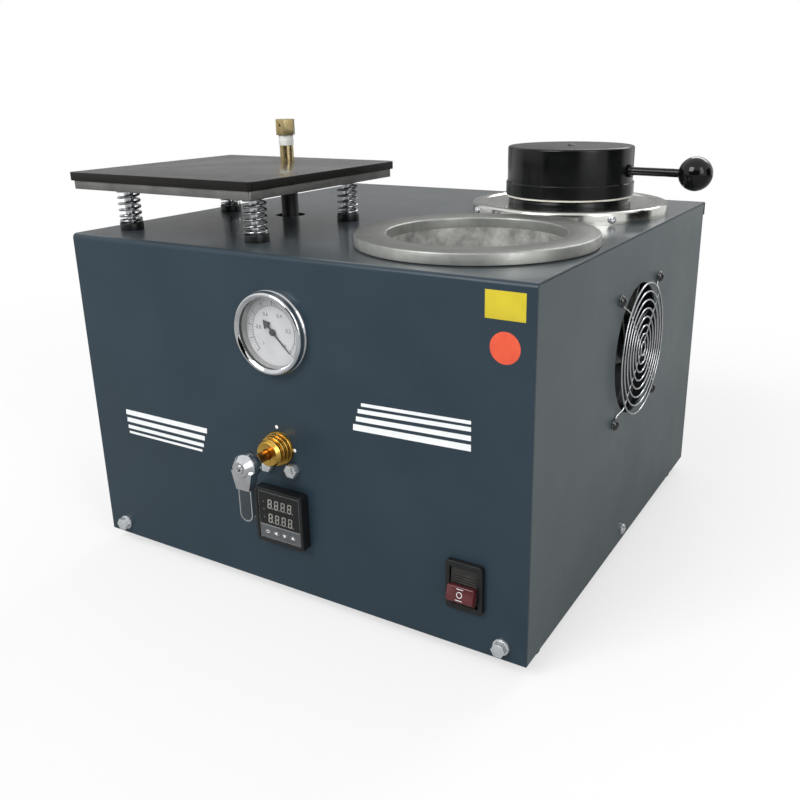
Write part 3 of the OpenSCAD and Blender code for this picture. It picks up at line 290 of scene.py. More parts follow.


# the base of every finish: two tones in patches, a roughness that varies, a fine relief
# and broken edges, and where given a painted tone on level faces; patch and grain are the sizes of the
# marks on the real surface
def surface(name, tone, second, rough, patch, grain, relief, edge, metallic=0.0,
            stretch=(1, 1, 1), around=None, paintedLevelLight=None, **shader):
    material = bpy.data.materials.new(name)
    material.use_nodes = True
    tree = material.node_tree
    base = tree.nodes["Principled BSDF"]
    place = addNode(tree, "ShaderNodeTexCoord").outputs["Object"]
    lay = place
    if around is not None:  # marks that run round an upright axis, as a lathe leaves them
        centred = addNode(tree, "ShaderNodeVectorMath", {0: place, 1: around}, operation="SUBTRACT")
        split = addNode(tree, "ShaderNodeSeparateXYZ", {0: centred.outputs[0]})
        turn = addNode(tree, "ShaderNodeMath", {0: split.outputs["Y"], 1: split.outputs["X"]},
                       operation="ARCTAN2")
        flat = addNode(tree, "ShaderNodeCombineXYZ", {"X": split.outputs["X"],
                       "Y": split.outputs["Y"]})
        reach = addNode(tree, "ShaderNodeVectorMath", {0: flat.outputs[0]}, operation="LENGTH")
        slow = addNode(tree, "ShaderNodeMath", {0: turn.outputs[0], 1: shading["turnShare"]},
                       operation="MULTIPLY")
        lay = addNode(tree, "ShaderNodeCombineXYZ", {"X": reach.outputs["Value"],
                      "Y": slow.outputs[0], "Z": split.outputs["Z"]}).outputs[0]
    patches = addNode(tree, "ShaderNodeTexNoise", {"Vector": place, "Scale": 1000 / patch,
                      "Detail": 5.0, "Roughness": 0.6})
    spread = addNode(tree, "ShaderNodeMapRange", {"Value": patches.outputs["Fac"],
                     "From Min": shading["patches"][0], "From Max": shading["patches"][1]})
    mixed = addNode(tree, "ShaderNodeMix", {0: spread.outputs[0], 6: linear(tone),
                    7: linear(second)}, data_type="RGBA")  # 6 and 7 are its two colours
    colour = mixed.outputs[2]
    if paintedLevelLight is not None:  # painted light on level faces: a tone mixed in for the light they catch, under a real gloss coat
        paintedLevelTone, paintedLevelShare, levelCoatWeight, glossRough = paintedLevelLight
        facing = addNode(tree, "ShaderNodeTexCoord").outputs["Normal"]
        upward = addNode(tree, "ShaderNodeSeparateXYZ", {0: facing}).outputs["Z"]
        level = addNode(tree, "ShaderNodeMapRange", {"Value": upward,
                        "From Min": shading["level"][0],
                        "From Max": shading["level"][1]}).outputs[0]
        share = addNode(tree, "ShaderNodeMath", {0: level, 1: paintedLevelShare}, operation="MULTIPLY")
        gloss = addNode(tree, "ShaderNodeMath", {0: level, 1: levelCoatWeight}, operation="MULTIPLY")
        colour = addNode(tree, "ShaderNodeMix", {0: share.outputs[0], 6: colour,
                         7: linear(paintedLevelTone)}, data_type="RGBA").outputs[2]
        tree.links.new(gloss.outputs[0], base.inputs["Coat Weight"])
        base.inputs["Coat Roughness"].default_value = glossRough
    tree.links.new(colour, base.inputs["Base Color"])
    laid = addNode(tree, "ShaderNodeMapping", {"Vector": lay, "Scale": stretch})
    fine = addNode(tree, "ShaderNodeTexNoise", {"Vector": laid.outputs[0], "Scale": 1000 / grain,
                   "Detail": 3.0, "Roughness": 0.55})
    blend = addNode(tree, "ShaderNodeMath", {0: fine.outputs["Fac"], 1: patches.outputs["Fac"]},
                    operation="ADD")
    dull = addNode(tree, "ShaderNodeMapRange", {"Value": blend.outputs[0],
                   "From Min": shading["dull"][0], "From Max": shading["dull"][1],
                   "To Min": rough[0], "To Max": rough[1]})
    tree.links.new(dull.outputs[0], base.inputs["Roughness"])
    worn = addNode(tree, "ShaderNodeBevel", {"Radius": edge * mm}, samples=4)
    bump = addNode(tree, "ShaderNodeBump", {"Height": fine.outputs["Fac"], "Strength": 1.0,
                   "Distance": relief * mm, "Normal": worn.outputs[0]})
    tree.links.new(bump.outputs[0], base.inputs["Normal"])
    base.inputs["Metallic"].default_value = metallic
    for key, value in shader.items():
        base.inputs[key.replace("_", " ")].default_value = value
    finishes[name] = material
    return material


# powder coat over steel: orange peel of about 1.5 mm, and a deck that mirrors the springs;
# its level faces carry a painted reflection of the pale sky: tone, share, gloss, roughness of the gloss
frontPaint = surface("powder coated steel, blue grey", "#2b3a44", "#26343e", rough=(0.27, 0.37),
                     patch=90, grain=1.6, relief=0.004, edge=0.5,
                     paintedLevelLight=("#4d5254", 0.6, 0.5, 0.12), Specular_IOR_Level=0.25)
sidePaint = surface("powder coated steel, stone grey", "#4a5558", "#455053", rough=(0.3, 0.4),
                    patch=90, grain=1.6, relief=0.004, edge=0.5, Specular_IOR_Level=0.4)
# moulded rubber: near black and dusty, the pad polished by wiping and given a painted sheen on its top,
# the feet dull
padRubber = surface("moulded rubber", "#0f0e0d", "#181614", rough=(0.2, 0.45), patch=60, grain=0.5,
                    relief=0.006, edge=0.6, paintedLevelLight=("#1d1c1a", 0.7, 0.9, 0.16),
                    Specular_IOR_Level=0.2)
footRubber = surface("foot rubber", "#1a1b1c", "#232425", rough=(0.6, 0.75), patch=12, grain=0.6,
                     relief=0.03, edge=0.5)
hoseRubber = surface("hose rubber", "#141515", "#1c1d1d", rough=(0.45, 0.6), patch=15, grain=0.5,
                     relief=0.02, edge=0.3)
gasketRubber = surface("silicone gasket sheet", "#1b1c1d", "#252627", rough=(0.5, 0.65), patch=20,
                       grain=0.6, relief=0.01, edge=0.2)
# bright zinc over steel, a little cloudy, and drawn spring wire with a cleaner shine
zinc = surface("zinc plated steel", "#e6e8ea", "#cdd1d4", metallic=0.75, rough=(0.14, 0.3), patch=4,
               grain=0.5, relief=0.004, edge=0.35)
springSteel = surface("bright spring wire", "#c4c6c8", "#9b9ea1", metallic=1.0, rough=(0.14, 0.3),
                      patch=6, grain=0.5, relief=0.003, edge=0.1)
# sawn and milled aluminium plate: streaks along the plate's edges, coarser than real so they show
plateAluminium = surface("milled aluminium plate", "#8b8c89", "#757674", metallic=1.0,
                         rough=(0.34, 0.55), patch=25, grain=0.8, relief=0.012, edge=0.5,
                         stretch=(0.06, 0.06, 1.0))
# turned aluminium: grooves of the lathe, drawn coarser than real, clouded by handling, with painted shade
# darkening its level top
ringCentre = (*middleOf("chamber_flange").xy, 0)
ringAluminium = surface("turned cast aluminium", "#a9aba6", "#8b8d89", metallic=0.65,
                        rough=(0.32, 0.5), patch=22, grain=0.7, relief=0.02, edge=0.5,
                        around=ringCentre, paintedLevelLight=("#51524e", 0.7, 0.0, 0.2))
# raw cast wall: pitted and stained by heat and plaster
wellAluminium = surface("raw cast aluminium", "#c9c9c5", "#868884", metallic=0.3, rough=(0.4, 0.7),
                        patch=13, grain=2.2, relief=0.08, edge=0.4, stretch=(1, 1, 0.25))
dishCentre = (*middleOf("furnace_flange").xy, 0)
# stainless sheet, polished round, with a faint warm tone from the heat
dishSteel = surface("polished stainless sheet", "#d6d7d2", "#bdbeb8", metallic=1.0, rough=(0.1, 0.24),
                    patch=30, grain=0.5, relief=0.004, edge=0.4, around=dishCentre)
# baked satin enamel on the hot parts: soft highlights; the ball is turned resin, nearly a mirror
stoveBlack = surface("baked black enamel on steel", "#0a0b0b", "#111212", rough=(0.16, 0.28),
                     patch=18, grain=0.9, relief=0.01, edge=0.5, Specular_IOR_Level=0.25)
knobPhenolic = surface("polished phenolic", "#0b0b0c", "#101011", rough=(0.05, 0.1), patch=14,
                       grain=1.0, relief=0.001, edge=0.1, Specular_IOR_Level=0.3)
# pressed fibre: chalky, pitted, without any shine
fibre = surface("ceramic fibre board", "#e6e3db", "#cfcabd", rough=(0.85, 0.95), patch=9, grain=0.8,
                relief=0.15, edge=0.5)
# turned brass under lacquer, duller bare drawn brass, brown bronze and red copper
brass = surface("turned brass", "#dab45c", "#c39a47", metallic=1.0, rough=(0.16, 0.34), patch=7,
                grain=0.4, relief=0.004, edge=0.25)
spudBrass = surface("drawn brass tube", "#bfb086", "#9a8556", metallic=1.0, rough=(0.18, 0.36),
                    patch=9, grain=0.5, relief=0.005, edge=0.3, stretch=(1, 1, 0.08))
stemBronze = surface("bronze valve stem", "#a8743f", "#7d5228", metallic=1.0, rough=(0.2, 0.38),
                     patch=6, grain=0.4, relief=0.004, edge=0.25)
copper = surface("bare copper tube", "#b4714a", "#8d5236", metallic=1.0, rough=(0.22, 0.42),
                 patch=14, grain=0.5, relief=0.004, edge=0.2)
# polished chrome: nearly a mirror, faint haze
chrome = surface("polished chrome plate", "#d6d8da", "#c4c7ca", metallic=1.0, rough=(0.04, 0.1),
                 patch=10, grain=1.2, relief=0.001, edge=0.3)
wireChrome = surface("chrome plated wire", "#d0d2d4", "#b9bcbf", metallic=1.0, rough=(0.1, 0.2),
                     patch=8, grain=0.8, relief=0.002, edge=0.1)
# moulded plastics, with the fine spark texture of the tool, drawn coarser than real
caseAbs = surface("moulded black ABS", "#0a0c0d", "#101214", rough=(0.34, 0.48), patch=20, grain=0.45,
                  relief=0.02, edge=0.35)
fanPlastic = surface("glass filled black nylon", "#121315", "#18191b", rough=(0.3, 0.45), patch=20,
                     grain=0.7, relief=0.01, edge=0.4)
sleevePlastic = surface("dipped vinyl grip", "#303a40", "#283137", rough=(0.22, 0.34), patch=10,
                        grain=0.6, relief=0.01, edge=0.4)
# blackened steel screw heads, oiled
blackOxide = surface("black oxide on steel", "#0b0c0d", "#121314", rough=(0.1, 0.2), patch=5,
                     grain=0.4, relief=0.003, edge=0.3, Specular_IOR_Level=0.7)
# the controller's face: a dark glossy window, a brushed key strip, soft keys and a foil line
windowPlastic = surface("smoked acrylic", "#090a0b", "#0d0e0f", rough=(0.08, 0.14), patch=15,
                        grain=0.8, relief=0.001, edge=0.1)
stripFilm = surface("brushed grey key film", "#626567", "#575a5c", rough=(0.35, 0.5), patch=9,
                    grain=0.4, relief=0.006, edge=0.15, stretch=(0.05, 1, 1), metallic=0.3)
keyPlastic = surface("grey silicone key", "#6b6e70", "#5e6163", rough=(0.4, 0.55), patch=6,
                     grain=0.4, relief=0.006, edge=0.2)
frameFoil = surface("silver foil line", "#c9cccd", "#aeb1b3", metallic=0.9, rough=(0.2, 0.35),
                    patch=5, grain=0.4, relief=0.003, edge=0.05)
# the rocker: a clear red lens block on a brown black body
lensRed = surface("dark red polycarbonate", "#5a2226", "#4a161a", rough=(0.2, 0.34), patch=9,
                  grain=0.5, relief=0.006, edge=0.3, Coat_Weight=0.3, Coat_Roughness=0.15)
rockerPlastic = surface("black brown rocker nylon", "#25231f", "#1b1a18", rough=(0.3, 0.45),
                        patch=9, grain=0.5, relief=0.008, edge=0.3)
# printed and stuck on marks, the dial's enamel and the unlit display: even and hardly glossy
whiteInk = surface("white screen ink", "#e9ebeb", "#dfe2e3", rough=(0.42, 0.55), patch=12, grain=0.7,
                   relief=0.01, edge=0.05)
blackInk = surface("black dial ink", "#1a1a1b", "#222223", rough=(0.5, 0.6), patch=8, grain=0.5,
                   relief=0.003, edge=0.02)
# the dial rim's grey is painted shade: it stands in for the shade inside the dial's recess
rimPaintedShade = surface("dial rim grey, painted shade", "#8b8686", "#7d7879", rough=(0.35, 0.5), patch=9, grain=0.5,
                    relief=0.004, edge=0.1)
yellowFilm = surface("yellow vinyl label", "#cbb820", "#c0ad1a", rough=(0.35, 0.45), patch=15,
                     grain=0.8, relief=0.008, edge=0.05)
orangeFilm = surface("orange red paper sticker", "#dd5432", "#d24a2b", rough=(0.5, 0.62), patch=9,
                     grain=0.5, relief=0.01, edge=0.05)
dialEnamel = surface("white dial enamel", "#bdb7ba", "#b2abaf", rough=(0.35, 0.45), patch=18,
                     grain=0.8, relief=0.003, edge=0.1)
segmentGrey = surface("unlit display segment", "#a3a29b", "#8f8e88", rough=(0.3, 0.4), patch=4,
                      grain=0.5, relief=0.002, edge=0.02)
sealTape = surface("white thread seal tape", "#eeeeea", "#dcdcd6", rough=(0.5, 0.65), patch=3,
                   grain=0.4, relief=0.05, edge=0.2, stretch=(1, 1, 3))
lampOff = surface("dark indicator lamp", "#4a4f45", "#3c403a", rough=(0.2, 0.3), patch=3, grain=0.5,
                  relief=0.001, edge=0.05)
# inside the case: sooty graphite, scaled wire, hammered paint, grey castings and ground steel
graphite = surface("pressed graphite", "#33343a", "#28292c", rough=(0.5, 0.65), patch=12, grain=0.5,
                   relief=0.03, edge=0.6)
hotWire = surface("oxidised resistance wire", "#6d4a38", "#54382b", metallic=0.7, rough=(0.5, 0.7),
                  patch=4, grain=0.5, relief=0.02, edge=0.1)
pumpPaint = surface("hammered grey enamel", "#4c555b", "#434b51", rough=(0.3, 0.45), patch=12,
                    grain=3.0, relief=0.12, edge=0.6)
pumpCasting = surface("die cast aluminium", "#868c8f", "#74797c", metallic=0.8, rough=(0.4, 0.55),
                      patch=14, grain=0.9, relief=0.04, edge=0.6)
rotorSteel = surface("ground steel", "#a5a9ac", "#8f9396", metallic=1.0, rough=(0.2, 0.36),
                     patch=10, grain=0.4, relief=0.003, edge=0.3)


# flat glass: faint green, a little smeared; shadow rays pass, so that the dial stays lit
glass = {"tone": "#eef4f3", "ior": 1.45, "smearsInMetre": 60, "rough": 0.04}


def clearGlass():
    material = bpy.data.materials.new("flat gauge glass")
    material.use_nodes = True
    tree = material.node_tree
    base = tree.nodes["Principled BSDF"]
    base.inputs["Base Color"].default_value = linear(glass["tone"])
    base.inputs["Transmission Weight"].default_value = 1.0
    base.inputs["IOR"].default_value = glass["ior"]
    place = addNode(tree, "ShaderNodeTexCoord").outputs["Object"]
    smear = addNode(tree, "ShaderNodeTexNoise", {"Vector": place,
                    "Scale": glass["smearsInMetre"], "Detail": 4.0})
    dull = addNode(tree, "ShaderNodeMapRange", {"Value": smear.outputs["Fac"], "To Min": 0.0,
                   "To Max": glass["rough"]})
    tree.links.new(dull.outputs[0], base.inputs["Roughness"])
    clear = addNode(tree, "ShaderNodeBsdfTransparent")
    path = addNode(tree, "ShaderNodeLightPath")
    through = addNode(tree, "ShaderNodeMixShader", {0: path.outputs["Is Shadow Ray"],
                      1: base.outputs[0], 2: clear.outputs[0]})
    tree.links.new(through.outputs[0], tree.nodes["Material Output"].inputs["Surface"])
    finishes[material.name] = material
    return material


gaugeGlass = clearGlass()

nodeFinish = {
    "front_top_cover": frontPaint, "left_side_panel": sidePaint, "right_side_panel": sidePaint,
    "back_panel": frontPaint, "base_tray": frontPaint, "rubber_feet": footRubber,
    "pan_screws": zinc, "hex_bolts": zinc, "table_plate": plateAluminium,
    "rubber_pad": padRubber, "table_springs": springSteel, "spring_seats": caseAbs,
    "guide_pins": zinc, "vacuum_spud": spudBrass, "spud_cap": spudBrass, "table_hose": hoseRubber,
    "hose_clamp": zinc, "chamber_flange": ringAluminium, "chamber_gasket": gasketRubber,
    "chamber_pot": wellAluminium, "vacuum_lines": copper, "furnace_flange": dishSteel,
    "furnace_collar": stoveBlack, "furnace_can": dishSteel, "furnace_lining": fibre,
    "heating_coil": hotWire, "crucible": graphite, "thermocouple": rotorSteel,
    "lid_shell": stoveBlack, "lid_lining": fibre, "handle_rod": stoveBlack,
    "ball_knob": knobPhenolic, "gauge_case": stoveBlack, "gauge_bezel": chrome,
    "gauge_glass": gaugeGlass, "gauge_dial": dialEnamel, "gauge_pointer": blackInk,
    "gauge_tube": brass, "valve_body": brass, "valve_bonnet": brass, "valve_stem": stemBronze,
    "valve_lever": chrome, "lever_sleeve": sleevePlastic, "lever_screw": chrome,
    "controller_case": caseAbs, "controller_face": windowPlastic, "key_set": keyPlastic,
    "key_shift": keyPlastic, "key_down": keyPlastic, "key_up": keyPlastic,
    "switch_housing": caseAbs, "switch_rocker": rockerPlastic, "fan_guard": wireChrome,
    "fan_frame": fanPlastic, "fan_impeller": fanPlastic, "fan_screws": blackOxide,
    "pump_motor": pumpPaint, "pump_body": pumpCasting, "pump_rotor": rotorSteel,
    "cable_gland": caseAbs,
}
for nodeName, material in nodeFinish.items():
    nodes[nodeName].data.materials.clear()
    nodes[nodeName].data.materials.append(material)
print("finishes made:", len(finishes))


# marks on the front panel: a stripe is its two upper corners and its thickness, and each of its
# ends leans by the slant for each millimetre of that thickness
marks = {
    "ink": 0.06, "topDot": (212.1, 144.6), "rightDot": (228.8, 127.8), "dotReach": 1.5, "dotEdge": 0.1,
    "leftStripes": [((39, 128.2), (136, 128.4), 4.7), ((39.3, 120.8), (132.6, 120.8), 4.2),
                    ((39.6, 113.7), (130.6, 113.6), 3.3), ((40, 107.8), (128.2, 107.8), 2.2)],
    "rightStripes": [((294, 179.3), (384.2, 182.4), 2.6), ((290.8, 174.2), (384.2, 177.8), 3.3),
                     ((289, 168.1), (384.2, 171.4), 3.9), ((286.2, 161.6), (384.2, 164.8), 5)],
    "leftSlant": (0.1, 0.12), "rightSlant": (0.1, 0),
}
label = {"centre": (408.2, 265.5), "size": (29, 19, 0.12), "edge": 0.05}
sticker = {"centre": (408.5, 237.3), "section": [(pole, 0.1), (10.8, 0.1), (11, 0.04), (11, 0)]}


def stripeGroup(stripes, slants):
    made = []
    for (left, top), (right, topRight), thick in stripes:
        corners = {
            (False, True): (left, top), (True, True): (right, topRight),
            (False, False): (left - thick * slants[0], top - thick),
            (True, False): (right - thick * slants[1], topRight - thick),
        }
        stripe = boxed("stripe", (1, 1, marks["ink"]))
        for vertex in stripe.data.vertices:
            x, z = corners[vertex.co.x > 0, vertex.co.y > 0]
            vertex.co.x, vertex.co.y = x * mm, z * mm
        made.append(placed(stripe, onFront(0, 0, marks["ink"] / 2)))
    return made


def paintedMarks():
    ink, reach = marks["ink"], marks["dotReach"]
    parts = stripeGroup(marks["leftStripes"], marks["leftSlant"])
    parts += stripeGroup(marks["rightStripes"], marks["rightSlant"])
    for x, z in (marks["topDot"], marks["rightDot"]):
        dot = turned("dot", [(pole, ink), (reach - marks["dotEdge"], ink), (reach, 0)], steps=32)
        parts.append(placed(dot, onFront(x, z)))
    dressed(joined("printedMarks", parts), whiteInk, "case", "dial_enamel")


def stuckMarks():
    thick = label["size"][2]
    patch = boxed("yellowLabel", label["size"], (0, 0, thick / 2), label["edge"], segments=2)
    dressed(placed(patch, onFront(*label["centre"])), yellowFilm, "case", "dial_enamel")
    disc = turned("roundSticker", sticker["section"], steps=96)
    dressed(placed(disc, onFront(*sticker["centre"])), orangeFilm, "case", "red_plastic")


paintedMarks()
stuckMarks()
print("front marks made")


# chamber ring, furnace dish, collar and lid: half sections, each point a radius and a height
deckHeight = 282
roundSteps = 192
chamberRing = {
    "centre": (330.5, 112),
    "section": [(95, 1), (95, 8.6), (94.7, 9.1), (94.2, 9.4), (93.6, 9.5), (71.2, 9.5), (70.5, 9.2),
                (70.1, 8.7), (70, 8), (70, 1)],
}
furnaceDish = {
    "centre": (330.5, 305),
    "section": [(91.5, 0), (91.5, 8.4), (91.2, 9.6), (90.4, 10.6), (89.2, 11), (83, 11),
                (82, 10.7), (80.4, 9.8), (79.3, 9.5), (54.6, 9.5), (54.6, 8.3), (79.6, 8.3),
                (82, 9.6), (89.2, 9.8), (90.2, 8.8), (90.3, 0)],
}
lidCollar = {
    "section": [(57.3, 9.5), (56.9, 14.6), (56.5, 15.2), (55.9, 15.5), (54.6, 15.5), (54.6, 9.5)],
}
lid = {
    "foot": 17.3, "height": 44,
    "section": [(pole, 42), (56.5, 42), (56.5, 0), (59.4, 0), (59.7, 0.4), (59.7, 11.4), (59.2, 12),
                (58.5, 12), (58.5, 42), (58.35, 42.9), (57.9, 43.5), (57.2, 43.9), (56.5, 44),
                (pole, 44)],
    "rivet": [(3.2, -0.5), (3.2, 0.25), (2.8, 0.7), (1.8, 1.0), (pole, 1.1)],
}


def hotEnd():
    well = onCase(*chamberRing["centre"], deckHeight)
    furnace = onCase(*furnaceDish["centre"], deckHeight)
    lidPlace = furnace @ Matrix.Translation((0, 0, lid["foot"] * mm))
    lidTop = lidPlace @ Matrix.Translation((0, 0, lid["height"] * mm))
    ring = placed(turned("chamberRing", chamberRing["section"], roundSteps, closed=True), well)
    dressed(ring, ringAluminium, "case", "aluminium", "chamber_flange")
    dish = placed(turned("furnaceDish", furnaceDish["section"], roundSteps, closed=True), furnace)
    dressed(dish, dishSteel, "case", "stainless", "furnace_flange")
    collar = placed(turned("lidCollar", lidCollar["section"], roundSteps, closed=True), furnace)
    dressed(collar, stoveBlack, "case", "black_steel", "furnace_collar")
    shell = placed(turned("lidShell", lid["section"], roundSteps), lidPlace)
    dressed(shell, stoveBlack, "lid", "black_steel", "lid_shell")
    rivet = placed(turned("lidRivet", lid["rivet"], steps=48), lidTop)
    dressed(rivet, stoveBlack, "lid", "black_steel")
    refined("handleRod", "handle_rod", stoveBlack, "lid", "black_steel", edge=0.35)


hotEnd()
print("ring, dish and lid made")


# vacuum table: keep is the share of its length that a spring or the hose has left when the table
# is down, and shut is the pitch of a spring's end turns, counted in the wire's radius
springs = {
    "centres": [(29, 40), (171, 40), (29, 166), (171, 166)], "radius": 8.65, "wire": 1.1,
    "foot": 288, "top": 319, "turns": 7, "steps": 24, "shut": 2.3, "keep": 0.742,
}
hose = {
    "centre": (100, 171), "foot": 240, "keep": 0.893,
    "section": [(6.3, 75), (7.6, 75), (8, 74.6), (8, 70.4), (7.7, 69.6), (7.7, 64.6), (8, 63.8),
                (8, 0.4), (7.6, 0), (6.3, 0)],
}
tape = {
    "foot": 346.5,
    "section": [(6.3, 0), (6.62, 0.1), (6.85, 1.2), (6.78, 2.6), (6.95, 3.4), (6.9, 5.8), (6.75, 6.6),
                (6.85, 8.6), (6.6, 9.5), (6.3, 9.5)],
}


# closed and ground ends: the pitch eases in over the first and last turn
def springWire(centre):
    made = springs
    points = []
    low, high = made["foot"] + made["wire"], made["top"] - made["wire"]
    shut = made["shut"] * made["wire"]
    for i in range(made["turns"] * made["steps"] + 1):
        turn = i / made["steps"]
        if turn < 1:
            height = low + shut * turn * turn / 2
        elif turn > made["turns"] - 1:
            height = high - shut * (made["turns"] - turn) ** 2 / 2
        else:
            share = (turn - 1) / (made["turns"] - 2)
            height = low + shut / 2 + (high - low - shut) * share
        angle = 2 * math.pi * turn
        points.append((centre[0] + made["radius"] * math.cos(angle),
                       centre[1] + made["radius"] * math.sin(angle), height))
    return placed(tubeAlong("spring", points, made["wire"], sides=4), onCase(0, 0, 0))


def vacuumTable():
    coils = joined("springCoils", [springWire(centre) for centre in springs["centres"]])
    dressed(coils, springSteel, "case", "spring_steel", "table_springs")
    refined("padRubber", "rubber_pad", padRubber, "table", "rubber", edge=1.1, segments=4)
    refined("tablePlate", "table_plate", plateAluminium, "table", "aluminium", edge=0.5)
    refined("springSeats", "spring_seats", caseAbs, "case", "black_plastic", edge=0.5)
    refined("spudCap", "spud_cap", spudBrass, "table", "brass", edge=0.35)
    refined("hoseClamp", "hose_clamp", zinc, "table", "plated_steel", edge=0.2, segments=2)
    tube = placed(turned("tableHose", hose["section"], steps=64, closed=True),
                  onCase(*hose["centre"], hose["foot"]))
    dressed(tube, hoseRubber, "case", "rubber", "table_hose")
    wrap = placed(turned("threadTape", tape["section"], steps=64),
                  onCase(*hose["centre"], tape["foot"]))
    dressed(wrap, sealTape, "table", "rubber")
    for piece, made in ((coils, springs), (tube, hose)):
        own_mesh(piece)


vacuumTable()
print("vacuum table made")


# gauge: its sections, and the scale in degrees from where it starts; out is from the front panel
gauge = {
    "centre": (215, 222.5), "dialOut": -1.58, "start": -45, "sweep": 270,
    "bezel": [(31.1, 0), (33, 0), (33, 1.6), (32.6, 2), (32.2, 2.4), (32.2, 5), (32.3, 6.2),
              (32.1, 7.2), (31.6, 7.9), (31, 8.3), (30.4, 8.45), (29.7, 8.3), (28.9, 7.8),
              (28.2, 7.1), (27.7, 6.6), (27.8, 6.35), (30.2, 6.35), (31.1, 5.6)],
    "gasket": [(30.4, 4.2), (28.9, 4.25), (28.4, 3.8), (28, 2.4), (30.4, 2.4)],
    "rim": [(30.4, 2.4), (28, 2.4), (26.6, -1.4), (27.2, -1.6), (30.4, -1.6)],
    "majorTick": (4.0, 0.5), "minorTick": (2.0, 0.24), "tickThickness": 0.05, "tickStart": 20.6,
    "divisions": 50, "major": 5, "inkLift": 0.02, "arcAt": 20.3, "arcWidth": 0.35, "arcSteps": 72,
    "numbers": ("0", "0.2", "0.4", "0.6", "0.8", "1"), "numberAt": 14.6, "numberHeight": 4.2,
    "numberThickness": 0.04, "needle": (27.5, 1.5, 0.5), "needleFrom": -6.0, "needleOut": -0.35,
    "needlePoint": 0.3, "tailThickness": 0.4,
    "tail": [(-3.0, 0.5), (-6.2, 0.55), (-6.0, 4.4), (-12.4, 0.1), (-6.6, -4.4), (-6.2, -0.55),
             (-3.0, -0.5)],
    "hub": [(2.6, -0.9), (2.6, 0.5), (2.3, 0.9), (1.4, 1.0), (1.2, 1.7), (pole, 1.8)],
}


def onScale(share):  # the angle at a share of the scale
    return math.radians(gauge["start"] + gauge["sweep"] * share)


def onDial(angle, reach, out):
    return (onFront(*gauge["centre"], gauge["dialOut"] + out) @ Matrix.Rotation(angle, 4, "Z")
            @ Matrix.Translation((reach * mm, 0, 0)))


def dialTicks():
    ticks = []
    for i in range(gauge["divisions"] + 1):
        length, width = gauge["minorTick"] if i % gauge["major"] else gauge["majorTick"]
        tick = boxed("tick", (length, width, gauge["tickThickness"]))
        ticks.append(placed(tick, onDial(onScale(i / gauge["divisions"]),
                                         gauge["tickStart"] + length / 2, gauge["inkLift"])))
    return ticks


def dialArc():
    reach, steps = gauge["arcAt"], gauge["arcSteps"]
    angles = [onScale(i / steps) for i in range(steps + 1)]
    points = [(reach * math.cos(angle), reach * math.sin(angle), 0) for angle in angles]
    return placed(tubeAlong("arc", points, gauge["arcWidth"] / 2, sides=1), onDial(0, 0, 0))


def dialNumbers():  # they stand upright on this dial
    made = []
    for i, words in enumerate(gauge["numbers"]):
        angle = onScale(i / (len(gauge["numbers"]) - 1))
        reach = gauge["numberAt"] * mm
        place = onDial(0, 0, gauge["inkLift"]) @ Matrix.Translation(
            (reach * math.cos(angle), reach * math.sin(angle), 0))
        made.append(lettered("number", words, gauge["numberHeight"], gauge["numberThickness"], place))
    return made


def needleTail():  # the arrow head shaped counterweight behind the hub
    thick = gauge["tailThickness"]
    deselectAll()
    bpy.ops.mesh.primitive_circle_add(vertices=len(gauge["tail"]), radius=mm, fill_type="NGON")
    tail = bpy.context.object
    for vertex, (u, v) in zip(tail.data.vertices, gauge["tail"]):
        vertex.co = (u * mm, v * mm, (gauge["needleOut"] - thick / 2) * mm)
    bpy.ops.object.mode_set(mode="EDIT")
    bpy.ops.mesh.select_all(action="SELECT")
    bpy.ops.mesh.extrude_region_move(TRANSFORM_OT_translate={"value": (0, 0, thick * mm)})
    bpy.ops.object.mode_set(mode="OBJECT")
    return cleaned(tail, making["fineGap"])


def needleArm():  # narrow towards its point
    length = gauge["needle"][0]
    arm = boxed("needle", gauge["needle"], (gauge["needleFrom"] + length / 2, 0, gauge["needleOut"]))
    for vertex in arm.data.vertices:
        if vertex.co.x > 0:
            vertex.co.y *= gauge["needlePoint"]
    return arm


def gaugeFront():
    front = onFront(*gauge["centre"])
    bezel = placed(turned("gaugeBezel", gauge["bezel"], steps=160, closed=True, smooth=50), front)
    dressed(bezel, chrome, "case", "chrome", "gauge_bezel")
    gasket = placed(turned("glassGasket", gauge["gasket"], steps=96, closed=True), front)
    dressed(gasket, gasketRubber, "case", "rubber")
    # the sloped rim round the dial is coloured as painted shade of the recess
    rim = placed(turned("dialRim", gauge["rim"], steps=96, closed=True), front)
    dressed(rim, rimPaintedShade, "case", "dial_enamel")
    prints = dialTicks() + [dialArc()] + dialNumbers()
    dressed(joined("dialBlackPrint", prints), blackInk, "case", "dial_enamel")
    needle = joined("needle", [needleArm(), needleTail()])
    needle = placed(needle, front @ Matrix.Rotation(onScale(0), 4, "Z"))
    hub = placed(turned("hub", gauge["hub"], steps=48), front)
    dressed(joined("gaugeNeedle", [needle, hub]), blackInk, "pointer", "black_steel", "gauge_pointer")


gaugeFront()
print("gauge made")


# valve, its lever and the bolts
valve = {
    "centre": (214, 127.5),
    "bonnet": [(13.75, 0), (13.75, 2.4), (13.4, 2.9), (12.2, 3.1), (12.2, 3.6), (13.0, 3.9),
               (13.1, 5.8), (12.8, 6.3), (11.5, 6.5), (11.5, 7.0), (12.2, 7.3), (12.3, 9.2),
               (12.0, 9.7), (10.6, 9.9), (10.6, 10.4), (11.2, 10.7), (11.3, 12.6), (10.8, 13.2),
               (10.2, 15.4), (9.6, 16), (4.6, 16), (4.1, 15.5), (4.1, 0)],
}


